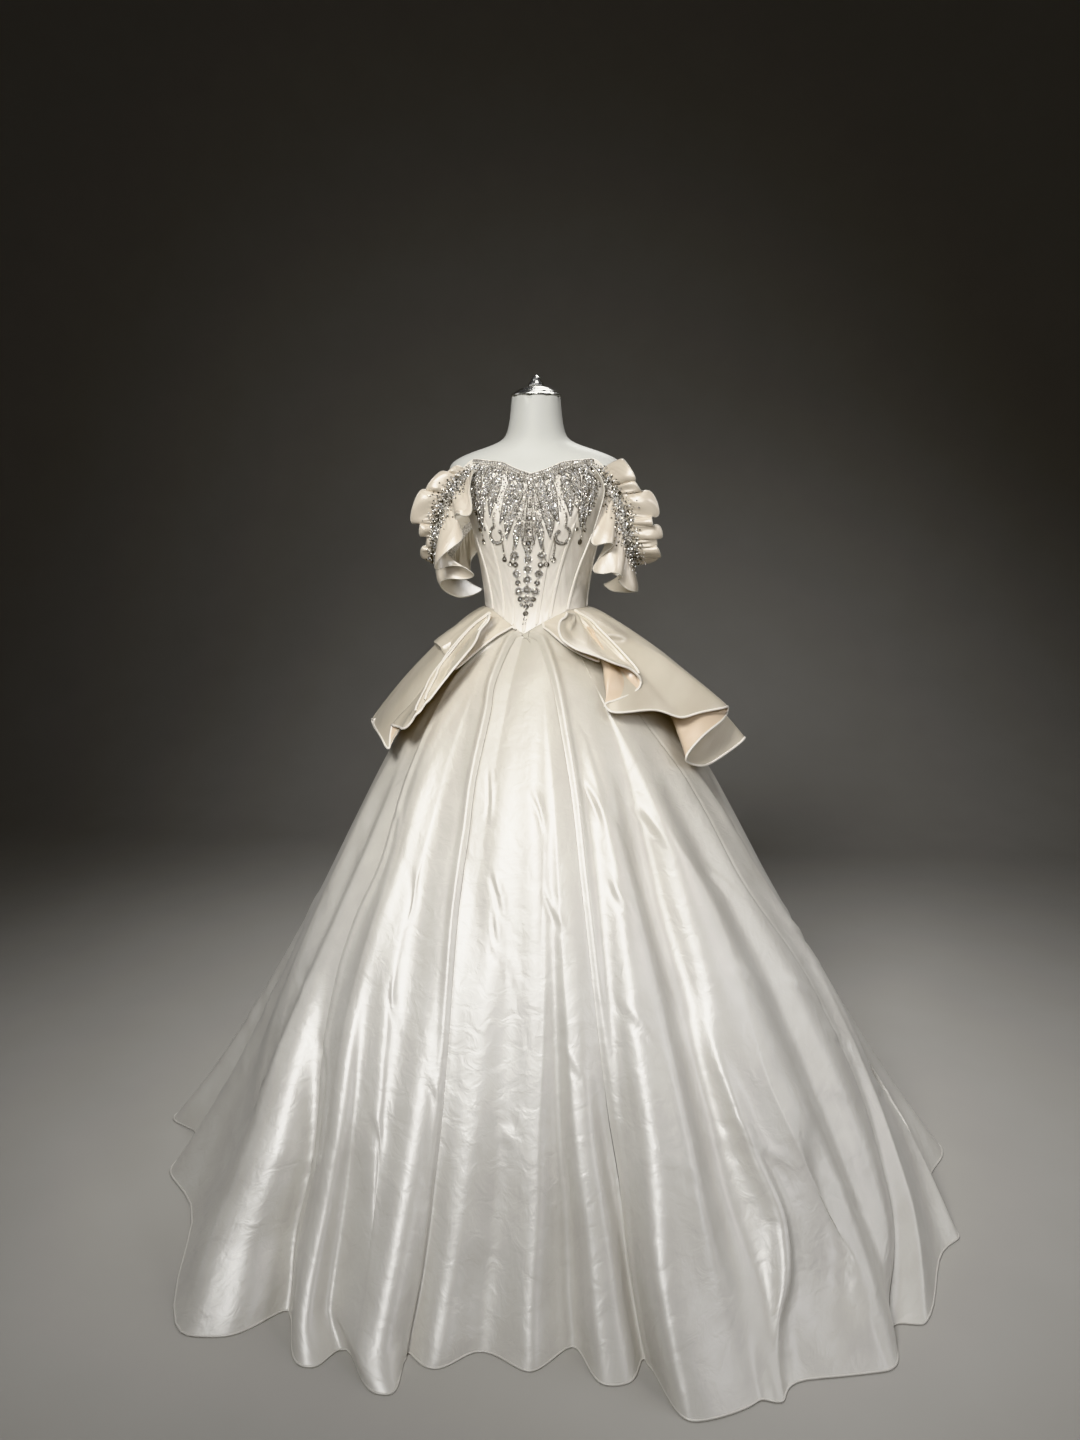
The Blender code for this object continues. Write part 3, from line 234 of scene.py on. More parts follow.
def formShell(name):
    # Moulded glass-fibre form with a matt sprayed finish: even off-white, orange peel of 2 mm
    material, tree, shader = newMaterial(name, "#cbcac3",
                                         {"Roughness": 0.5, "Specular IOR Level": 0.4})
    place = (addNode(tree, "ShaderNodeTexCoord"), "Object")
    peel = addNode(tree, "ShaderNodeTexNoise", {"Scale": 500.0, "Detail": 1.0}, {"Vector": place})
    relief = addNode(tree, "ShaderNodeBump", {"Strength": 1.0, "Distance": 0.00003},
                     {"Height": peel})
    cloud = addNode(tree, "ShaderNodeTexNoise", {"Scale": 9.0, "Detail": 2.0}, {"Vector": place})
    colour = addNode(tree, "ShaderNodeValToRGB", {"stops": [(0.0, "#c6c5bd"), (1.0, "#d1d0c9")]},
                     {"Fac": cloud})
    linkNode(tree, shader, {"Base Color": colour, "Normal": relief})
    return material


def turnedMetal(name, colour, roughness, grain):
    # Turned metal, plated or brushed: fine rings of tool marks round its axis, 0.8 mm apart
    material, tree, shader = newMaterial(name, colour, {"Metallic": 1.0, "Roughness": roughness})
    place = (addNode(tree, "ShaderNodeTexCoord"), "Object")
    rings = addNode(tree, "ShaderNodeMapping", {"Scale": (40.0, 40.0, 1250.0)}, {"Vector": place})
    marks = addNode(tree, "ShaderNodeTexNoise", {"Scale": 1.0, "Detail": 1.0}, {"Vector": rings})
    polish = addNode(tree, "ShaderNodeMapRange",
                     {"To Min": roughness * 0.7, "To Max": roughness * 1.4}, {"Value": marks})
    relief = addNode(tree, "ShaderNodeBump", {"Strength": 1.0, "Distance": grain},
                     {"Height": marks})
    linkNode(tree, shader, {"Roughness": polish, "Normal": relief})
    return material


def studioPaper(name):
    # Seamless paper: matt, with a faint mottle 200 mm across
    material, tree, shader = newMaterial(name, studio["paperColour"],
                                         {"Roughness": 0.9, "Specular IOR Level": 0.2})
    place = (addNode(tree, "ShaderNodeTexCoord"), "Object")
    mottle = addNode(tree, "ShaderNodeTexNoise", {"Scale": 5.0, "Detail": 3.0}, {"Vector": place})
    colour = addNode(tree, "ShaderNodeValToRGB", {"stops": [(0.0, "#b6b3ad"), (1.0, "#bcb9b3")]},
                     {"Fac": mottle})
    linkNode(tree, shader, {"Base Color": colour})
    return material


# The last colour given to the skirt's and the sleeves' satin is painted shade: a warm tint that
# deepens up to the waist
ivorySatin = satinCloth("ivoryDuchesseSatin", "#dfdcd4", "#d1cdc5", 0.42, 0.0015, "#e9e5dc")
sleeveSatin = satinCloth("gatheredDuchesseSatin", "#d9d3c8", "#cbc3b6", 0.33, 0.0010, "#fffaf2",
                         0.055)
bodiceSatin = satinCloth("bodiceSatin", "#f0eae0", "#e3dccf", 0.35, 0.0007)
champagneSatin = satinCloth("champagneDuchesseSatin", "#d1c8b7", "#c3b9a6", 0.33, 0.0009)
# Painted shade: a warmer, peach copy of the champagne satin for the flounces' inner faces, standing
# in for warm light bounced into their shaded undersides
peachPaintedShade = satinCloth("peachPaintedShadeSatin", "#dac8b2", "#cfbba2", 0.35, 0.0008)
silverBeads = glassBeads("silverLinedGlassBeads")
threadNet = silverNet("silverThreadNet")
formWhite = formShell("sprayedFormShell")
polishedSilver = turnedMetal("silverPlatedBrass", "#f0efea", 0.22, 0.00001)
standSteel = turnedMetal("brushedSteel", "#9a9a9c", 0.38, 0.00003)
paper = studioPaper("seamlessPaper")

# Curves, grids and meshes


def smoothCurve(places, values):
    # A curve through the points that never swings past them (monotone cubic)
    places, values = np.asarray(places, float), np.asarray(values, float)
    spans = np.diff(places)
    slopes = np.diff(values) / spans
    before, after = slopes[:-1], slopes[1:]
    sameWay = before * after > 0
    weightBefore, weightAfter = 2 * spans[1:] + spans[:-1], spans[1:] + 2 * spans[:-1]
    safeBefore, safeAfter = np.where(sameWay, before, 1.0), np.where(sameWay, after, 1.0)
    mean = (weightBefore + weightAfter) / (weightBefore / safeBefore + weightAfter / safeAfter)
    tangents = np.concatenate([slopes[:1], np.where(sameWay, mean, 0.0), slopes[-1:]])

    def valueAt(place):
        place = np.clip(place, places[0], places[-1])
        i = np.clip(np.searchsorted(places, place, side="right") - 1, 0, len(spans) - 1)
        t = (place - places[i]) / spans[i]
        return ((2 * t**3 - 3 * t**2 + 1) * values[i]
                + (t**3 - 2 * t**2 + t) * tangents[i] * spans[i]
                + (3 * t**2 - 2 * t**3) * values[i + 1]
                + (t**3 - t**2) * tangents[i + 1] * spans[i])

    return valueAt


def thousandths(table, *columns):
    # A table as an array, with these columns over a thousand: millimetres become metres
    table = np.array(table, float)
    table[:, list(columns)] /= 1000
    return table


def ease(share):
    share = np.clip(share, 0.0, 1.0)
    return share * share * (3 - 2 * share)


def window(value, start, end, fade):
    # Full between start and end, with an eased way in and out inside them
    return ease((value - start) / fade) * ease((end - value) / fade)


def bump(share):
    return np.exp(-(share**2))


def unit(vectors):
    return vectors / np.maximum(np.linalg.norm(vectors, axis=-1, keepdims=True), 1e-12)


def wrapped(angles):
    return (angles + 180) % 360 - 180


def aroundAxis(angles, radii, heights):
    turns = np.radians(angles)
    return np.stack([radii * np.sin(turns), -radii * np.cos(turns), heights], axis=-1)


def lengthsAlong(points, axis=0):
    # How far each point lies along its line of points
    steps = np.diff(points, axis=axis, prepend=np.take(points, [0], axis=axis))
    return np.cumsum(np.linalg.norm(steps, axis=-1), axis=axis)


def blurred(values, width):
    # Rounds a row of values off along its first axis, with its ends held
    reach = int(math.ceil(3 * width))
    kernel = np.exp(-0.5 * (np.arange(-reach, reach + 1) / width) ** 2)
    kernel /= kernel.sum()
    values = np.asarray(values, float)
    flat = values.reshape(len(values), -1)
    first, last = flat[:1], flat[-1:]
    padded = np.concatenate([2 * first - flat[reach:0:-1], flat, 2 * last - flat[-2:-reach - 2:-1]])
    done = [np.convolve(column, kernel, mode="valid") for column in padded.T]
    return np.stack(done, axis=1).reshape(values.shape)


def gridNormals(points):
    # Unit normals of a grid [column][row] whose columns run counter-clockwise from above
    return unit(np.cross(np.gradient(points, axis=1), np.gradient(points, axis=0)))


def drawnIn(grid, gap=0.00015):
    # Both side edges of a grid draw back a little, so that sewn neighbours don't share points
    for edge, inside in ((0, 1), (-1, -2)):
        grid[edge] += unit(grid[inside] - grid[edge]) * gap


def newPiece(name, points, faces, materials, flat=None, slots=None, sharp=60.0):
    # A mesh object with its place in its mesh, its faces turned outwards
    points = np.asarray(points, float)
    first, second, third = (points[[face[i] for face in faces]] for i in range(3))
    last = np.array([points[face[-1]] for face in faces])
    volume = np.sum(np.cross(first, second) * third) + np.sum(np.cross(first, third) * last)
    if volume < 0:
        faces = [tuple(reversed(face)) for face in faces]
    mesh = bpy.data.meshes.new(name)
    mesh.from_pydata(points.tolist(), [], [tuple(face) for face in faces])
    for material in materials:
        mesh.materials.append(material)
    if slots is not None:
        mesh.polygons.foreach_set("material_index", np.asarray(slots, np.int32))
    if flat is not None:
        order = np.empty(len(mesh.loops), np.int32)
        mesh.loops.foreach_get("vertex_index", order)
        places = mesh.uv_layers.new(name="flatCloth").data
        places.foreach_set("uv", flat[order].astype(np.float32).ravel())
    mesh.shade_smooth()
    mesh.set_sharp_from_angle(angle=math.radians(sharp))
    mesh.update()
    return addObject(name, mesh)


def wallFaces(columns, rows):
    # Faces of a closed wall between two grids of points: its front, its back and its sides
    index = np.arange(columns * rows).reshape(columns, rows)
    face = np.stack([index[:-1, :-1], index[:-1, 1:], index[1:, 1:], index[1:, :-1]], -1)
    face = face.reshape(-1, 4)
    back = face[:, ::-1] + index.size
    rim = np.concatenate([index[:, 0], index[-1, 1:], index[-2::-1, -1], index[0, -2:0:-1]])
    after = np.roll(rim, -1)
    return face, back, np.stack([rim, after, after + index.size, rim + index.size], -1)


def clothWall(name, outer, inner, materials):
    # A closed wall of cloth between two grids of points [column][row]
    face, back, side = wallFaces(*outer.shape[:2])
    faces = np.concatenate([face, back, side]).tolist()
    points = np.concatenate([outer.reshape(-1, 3), inner.reshape(-1, 3)])
    # Where each point lies on the flat cloth: across from the middle column, and down
    across = lengthsAlong(outer)
    flat = np.stack([across - across[len(across) // 2], lengthsAlong(outer, 1)], axis=-1)
    flat = np.tile(flat.reshape(-1, 2), (2, 1))
    slots = [0] * len(face) + [len(materials) - 1] * len(back) + [0] * len(side)
    return newPiece(name, points, faces, materials, flat, slots)


def cordShape(path, radius, sides=8):
    # Points and faces of a round cord along a path, closed at both ends
    tangent = unit(np.gradient(path, axis=0))
    side = np.cross(tangent[0], [0.0, 0.0, 1.0] if abs(tangent[0][2]) < 0.9 else [1.0, 0.0, 0.0])
    turns = (np.arange(sides) * 2 * math.pi / sides)[:, None]
    points = []
    for spot, ahead in zip(path, tangent):
        side = side - ahead * np.dot(side, ahead)
        side = side / np.linalg.norm(side)
        other = np.cross(ahead, side)
        points.append(spot + radius * (np.cos(turns) * side + np.sin(turns) * other))
    index = np.arange(len(path) * sides).reshape(-1, sides)
    after = np.roll(index, -1, axis=1)
    faces = np.stack([index[:-1], after[:-1], after[1:], index[1:]], -1).reshape(-1, 4).tolist()
    return np.concatenate(points), faces + [index[0, ::-1].tolist(), index[-1].tolist()]


def cordPiece(name, cords, material):
    # One piece of several cords, each a path and its radius
    points, faces, flat, count = [], [], [], 0
    for path, radius in cords:
        shape, sides = cordShape(path, radius)
        points.append(shape)
        faces += [tuple(count + corner for corner in face) for face in sides]
        girth = len(shape) // len(path)
        ring = np.tile(np.linspace(0, 0.01, girth), len(path))
        flat.append(np.stack([ring, np.repeat(lengthsAlong(path), girth)], axis=-1))
        count += len(shape)
    return newPiece(name, np.concatenate(points), faces, [material], np.concatenate(flat))


def attach(piece, slot, *nodes):
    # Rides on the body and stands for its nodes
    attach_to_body(piece, "root")
    if nodes:
        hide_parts(*nodes)


def declareCloth(piece, grid, slot, node, trims=()):
    # Attached with its trims; the size that it was cut to is worked out but not kept
    attach(piece, slot, node)
    for trim in trims:
        attach(trim, slot)
    across, down = np.diff(grid, axis=0), np.diff(grid, axis=1)
    width = round(float(np.linalg.norm(across, axis=2).sum(axis=0).max()), 4)
    length = round(float(np.linalg.norm(down, axis=2).sum(axis=1).max()), 4)
    area = float(np.linalg.norm(np.cross(down[:-1], across[:, :-1]), axis=2).sum())
    area = min(max(area, 0.31 * width * length), width * length)


# Floor


def addFloor():
    # A paper sweep: flat under the gown, then curved up behind it
    back, sweep, wide = studio["wallDistance"], studio["sweep"], studio["halfWidth"]
    turns = np.radians(np.linspace(0, 90, 25))
    profile = [(studio["nearEdge"], 0.0), (back - sweep - 0.5, 0.0)]
    profile += [(back - sweep + sweep * math.sin(t), sweep - sweep * math.cos(t)) for t in turns]
    profile.append((back, studio["wallHeight"]))
    points = [(x, y, z) for x in (-wide, wide) for y, z in profile]
    count = len(profile)
    mesh = bpy.data.meshes.new("paperSweep")
    mesh.from_pydata(points, [], [(i, i + count, i + count + 1, i + 1) for i in range(count - 1)])
    mesh.materials.append(paper)
    mesh.shade_smooth()
    addObject("paperSweep", mesh)


addFloor()
print("studio ready")

# Dress form

form = {
    # height, half width and half depth, in mm
    "sections": [
        (800, 108, 84), (825, 138, 105), (870, 156, 118), (920, 160, 120), (1000, 145, 108),
        (1060, 118, 91), (1120, 102, 80), (1180, 108, 86), (1250, 122, 99), (1300, 134, 106),
        (1330, 148, 103), (1360, 168, 95), (1385, 181, 85), (1405, 183, 75), (1420, 170, 67),
        (1435, 135, 62), (1447, 95, 60), (1458, 68, 58), (1475, 58, 56), (1510, 52.5, 52.5),
        (1545, 50, 50),
    ],
    "bustHeight": 1.295, "bustAngle": 27.0, "bustDepth": 0.008, "bustSpread": 26.0,
    "bustRise": 0.060,
}
sectionTable = thousandths(form["sections"], 0, 1, 2)
halfWidth = smoothCurve(sectionTable[:, 0], sectionTable[:, 1])
halfDepth = smoothCurve(sectionTable[:, 0], sectionTable[:, 2])


def formPoints(angles, heights):
    turns = np.radians(angles)
    across = (np.abs(angles) - form["bustAngle"]) / form["bustSpread"]
    upward = (heights - form["bustHeight"]) / form["bustRise"]
    bust = form["bustDepth"] * np.exp(-(across**2) - upward**2)
    return np.stack([(halfWidth(heights) + bust) * np.sin(turns),
                     -(halfDepth(heights) + bust) * np.cos(turns), heights + 0.0 * turns], axis=-1)


def formNormals(angles, heights):
    along = formPoints(angles + 0.5, heights) - formPoints(angles - 0.5, heights)
    upward = formPoints(angles, heights + 0.001) - formPoints(angles, heights - 0.001)
    return unit(np.cross(along, upward))


def buildForm():
    # The torso is the solid's own surface, welded and subdivided until it is smooth
    torso = addObject("formTorso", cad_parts["form_torso"].data.copy())
    bpy.ops.object.select_all(action="DESELECT")
    bpy.context.view_layer.objects.active = torso
    torso.select_set(True)
    bpy.ops.object.mode_set(mode="EDIT")
    bpy.ops.mesh.select_all(action="SELECT")
    bpy.ops.mesh.remove_doubles(threshold=0.00001)
    bpy.ops.mesh.tris_convert_to_quads(face_threshold=0.6, shape_threshold=0.6)
    bpy.ops.object.mode_set(mode="OBJECT")
    smooth = torso.modifiers.new("round", "SUBSURF")
    smooth.levels = smooth.render_levels = 2
    bpy.ops.object.modifier_apply(modifier="round")
    torso.data.materials.clear()
    torso.data.materials.append(formWhite)
    bpy.ops.object.shade_smooth()
    attach(torso, "form_white", "form_torso")


def turnedPiece(name, node, bottom, profile, segments, bevel):
    # Drawn up ring by ring from a filled circle, as on a lathe
    bpy.ops.object.select_all(action="DESELECT")
    radius, height = profile[0][0], bottom + profile[0][1]
    bpy.ops.mesh.primitive_circle_add(vertices=segments, radius=radius, fill_type="NGON",
                                      location=(0.0, 0.0, height))
    piece = bpy.context.active_object
    piece.name = piece.data.name = name
    bpy.ops.object.transform_apply(location=True, rotation=True, scale=True)
    bpy.ops.object.mode_set(mode="EDIT")
    bpy.ops.mesh.select_all(action="SELECT")
    for nextRadius, rise in profile[1:]:
        lift = {"value": (0.0, 0.0, bottom + rise - height)}
        bpy.ops.mesh.extrude_region_move(TRANSFORM_OT_translate=lift)
        share, height = nextRadius / radius, bottom + rise
        bpy.ops.transform.resize(value=(share, share, 1.0), center_override=(0.0, 0.0, height))
        radius = nextRadius
    bpy.ops.mesh.select_all(action="SELECT")
    bpy.ops.mesh.normals_make_consistent(inside=False)
    bpy.ops.object.mode_set(mode="OBJECT")
    if bevel:
        edge = piece.modifiers.new("edge", "BEVEL")
        edge.width, edge.segments, edge.limit_method = bevel, 2, "ANGLE"
        edge.angle_limit = math.radians(25)
        bpy.ops.object.modifier_apply(modifier="edge")
    bpy.ops.object.shade_smooth_by_angle(angle=math.radians(40))
    piece.data.materials.append(polishedSilver)
    attach(piece, "polished_silver", node)
    return piece


cap = {
    "bottom": 1.5453, "finialBottom": 1.5638, "finialHeight": 0.0235, "finialFacets": 14,
    "facetBevel": 0.00025,
    # radius and rise of each ring of the stepped dome, in mm
    "rings": [
        (48.5, 0), (50.5, 0.6), (51, 1.8), (50.5, 3.4), (48.5, 4.4), (45.2, 5.2), (44, 6.6),
        (43.2, 8.4), (40.4, 10), (36.8, 11), (35.2, 12.2), (34.4, 13.6), (31.8, 14.8), (28.5, 15.6),
        (25.8, 16.3), (24.6, 17.2), (22, 17.9), (19, 18.3),
    ],
    # radius in mm, and the share of the finial's height
    "finialRings": [
        (14, 0), (16.2, 0.05), (16.6, 0.14), (15.6, 0.26), (13.2, 0.4), (11.4, 0.5), (10.8, 0.58),
        (9.6, 0.7), (6.6, 0.83), (3, 0.94), (1, 1),
    ],
}


def buildCap():
    dome = thousandths(cap["rings"], 0, 1).tolist()
    turnedPiece("neckCapDome", "form_neck_cap", cap["bottom"], dome, 96, 0.0)
    finial = [(r, share * cap["finialHeight"]) for r, share in thousandths(cap["finialRings"], 0)]
    turnedPiece("capFinialCut", "form_cap_finial", cap["finialBottom"], finial,
                cap["finialFacets"], cap["facetBevel"]).data.shade_flat()


buildForm()
buildCap()
for nodeName in ("stand_base", "stand_pole"):
    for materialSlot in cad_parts[nodeName].material_slots:
        materialSlot.material = standSteel
print("dress form done")

# Bodice

bodice = {
    "clearance": 0.0024, "wall": 0.0018, "waistHeight": 1.120, "waistDip": 0.050,
    "waistDipAngle": 60.0,
    # upper edge: angle, and height in mm
    "topEdge": [
        (0, 1387), (9, 1396), (20, 1410), (33, 1414), (42, 1416), (50, 1400), (60, 1370),
        (75, 1328), (90, 1305), (112, 1303), (135, 1318), (158, 1326), (180, 1330),
    ],
    # seams: angle at the waist and at the top
    "seams": [
        (0, 0), (13, 29), (27, 47), (47, 77), (90, 93), (135, 130), (180, 180),
    ],
    "panels": ["front", "side_front", "side", "side_back", "back"],
    "columns": 22, "rows": 64, "edgeCord": 0.0017,
    "seamDip": 0.0009, "seamWidth": 0.0022, "pull": 0.00035, "pullFade": 0.012,
    "twist": -8.0,  # the front seams lean this many degrees at the waist
    # boning channels: seam place, lowest and highest share of the bodice's height
    "bones": [
        ("front", 1, 0.012, 0.58), ("side_front", 2, 0.012, 0.6), ("side", 3, 0.012, 0.66),
        ("side_seam", 4, 0.012, 0.97), ("side_back", 5, 0.012, 0.97),
    ],
    "centreBone": (0, 0.012, 0.11), "boneRows": 90, "boneColumns": 13,
    "boneWidth": 0.0078, "boneHeight": 0.0020, "boneFoot": 0.0003, "boneRoot": 0.0002,
}
topTable = thousandths(bodice["topEdge"], 1)
topEdgeHeight = smoothCurve(topTable[:, 0], topTable[:, 1])
seamTable = np.array(bodice["seams"])
waist = bodice["waistHeight"]


def leanOf(angles):
    return bodice["twist"] * np.clip(np.cos(np.radians(angles)), 0.0, 1.0)


def waistHeights(angles):
    reach = np.abs(angles - leanOf(angles)) / bodice["waistDipAngle"]
    return waist - bodice["waistDip"] * np.clip(1.0 - reach, 0.0, 1.0) ** 1.5


def seamAngles(place, shares):
    # Angle along the line at a panel place: 0 is the centre front and 6 the centre back
    places = np.arange(len(seamTable))
    atWaist, atTop = (np.interp(np.abs(place), places, column) for column in seamTable.T)
    angles = np.sign(place) * (atWaist + (atTop - atWaist) * shares)
    return angles + leanOf(angles) * (1.0 - shares) ** 1.5


def onBodice(places, shares, lift):
    # Points over the form by panel place, share of the bodice's height and lift, and normals
    places, shares = np.asarray(places, float), np.asarray(shares, float)
    angles = seamAngles(places, shares)
    low, high = waistHeights(angles), topEdgeHeight(np.abs(angles))
    heights = low + (high - low) * shares
    normals = formNormals(angles, heights)
    return formPoints(angles, heights) + normals * lift, normals


def pieceName(node):
    words = node.split("_")
    return words[0] + "".join(word.capitalize() for word in words[1:])


outside = bodice["clearance"] + bodice["wall"]  # from the form to the bodice's outer face


def addBodicePanel(node, first, last):
    columns = bodice["columns"] * (2 if first < 0 < last else 1)
    # Columns stand closer at the seams, where the cloth turns under
    steps = np.linspace(0.0, 1.0, columns + 1)
    steps = (steps - 0.10 * np.sin(4 * math.pi * steps) / (2 * math.pi)
             - 0.05 * np.sin(2 * math.pi * steps) / math.pi)
    places = (first + (last - first) * steps)[:, None]
    shares = np.linspace(1.0, 0.0, bodice["rows"])[None, :]
    points, normals = onBodice(places + 0 * shares, shares + 0 * places, 0.0)
    across = lengthsAlong(points)
    toSeam = np.minimum(across, across[-1:] - across)
    # The seams lie a little below the panels, and the cloth pulls slightly between the bones
    dip = -bodice["seamDip"] * bump(toSeam / bodice["seamWidth"])
    waves = np.sin(shares * 41 + 3 * np.sin(places * 5.1))
    pull = bodice["pull"] * waves * ease(toSeam / bodice["pullFade"])
    outer = points + normals * (outside + dip + pull)[..., None]
    inner = points + normals * bodice["clearance"]
    drawnIn(outer)
    drawnIn(inner)
    piece = clothWall(pieceName(node) + "Panel", outer, inner, [bodiceSatin])
    # Rolled edges along the neckline
    path = (outer[:, 0] + inner[:, 0]) / 2 + np.array([0.0, 0.0, 0.0002])
    cord = cordPiece(pieceName(node) + "Binding", [(path, bodice["edgeCord"])], bodiceSatin)
    declareCloth(piece, outer, "ivory_satin", node, [cord])


def addBone(node, place, low, high):
    # A padded channel over a bone: a low round ridge with a stitched groove at each side
    shares = np.linspace(high, low, bodice["boneRows"])
    middle = np.full(len(shares), float(place))
    step = 0.05
    there, here = (onBodice(middle + side * step, shares, outside)[0] for side in (1, -1))
    perPlace = np.linalg.norm(there - here, axis=1) / (2 * step)
    taper = 0.45 + 0.55 * ease((high - shares) / 0.03)
    across = np.linspace(-1.0, 1.0, bodice["boneColumns"])
    places = middle + across[:, None] * (bodice["boneWidth"] / 2 / perPlace) * taper
    ridge = np.sqrt(np.clip(1 - across**2, 0, 1)) ** 0.8
    ridge = ridge * (1 - 0.25 * bump(across / 0.10))  # pressed along the bone's middle
    rise = bodice["boneHeight"] * ridge[:, None] * (0.3 + 0.7 * ease((high - shares) / 0.02))
    outer, normals = onBodice(places, np.tile(shares, (len(across), 1)), outside)
    cloth = champagneSatin if abs(place) > 5 else bodiceSatin
    piece = clothWall(pieceName(node) + "Channel",
                      outer + normals * (bodice["boneFoot"] + rise)[..., None],
                      outer - normals * bodice["boneRoot"], [cloth])
    attach(piece, "champagne_satin", node)


def buildBodice():
    addBodicePanel("bodice_centre_front", -1.0, 1.0)
    for number, name in enumerate(bodice["panels"], start=1):
        addBodicePanel(f"bodice_{name}_left", number, number + 1)
        addBodicePanel(f"bodice_{name}_right", -number - 1, -number)
    for name, place, low, high in bodice["bones"]:
        addBone(f"boning_{name}_left", place, low, high)
        addBone(f"boning_{name}_right", -place, low, high)
    addBone("boning_centre_front", *bodice["centreBone"])


buildBodice()
print("bodice done")

# Skirt

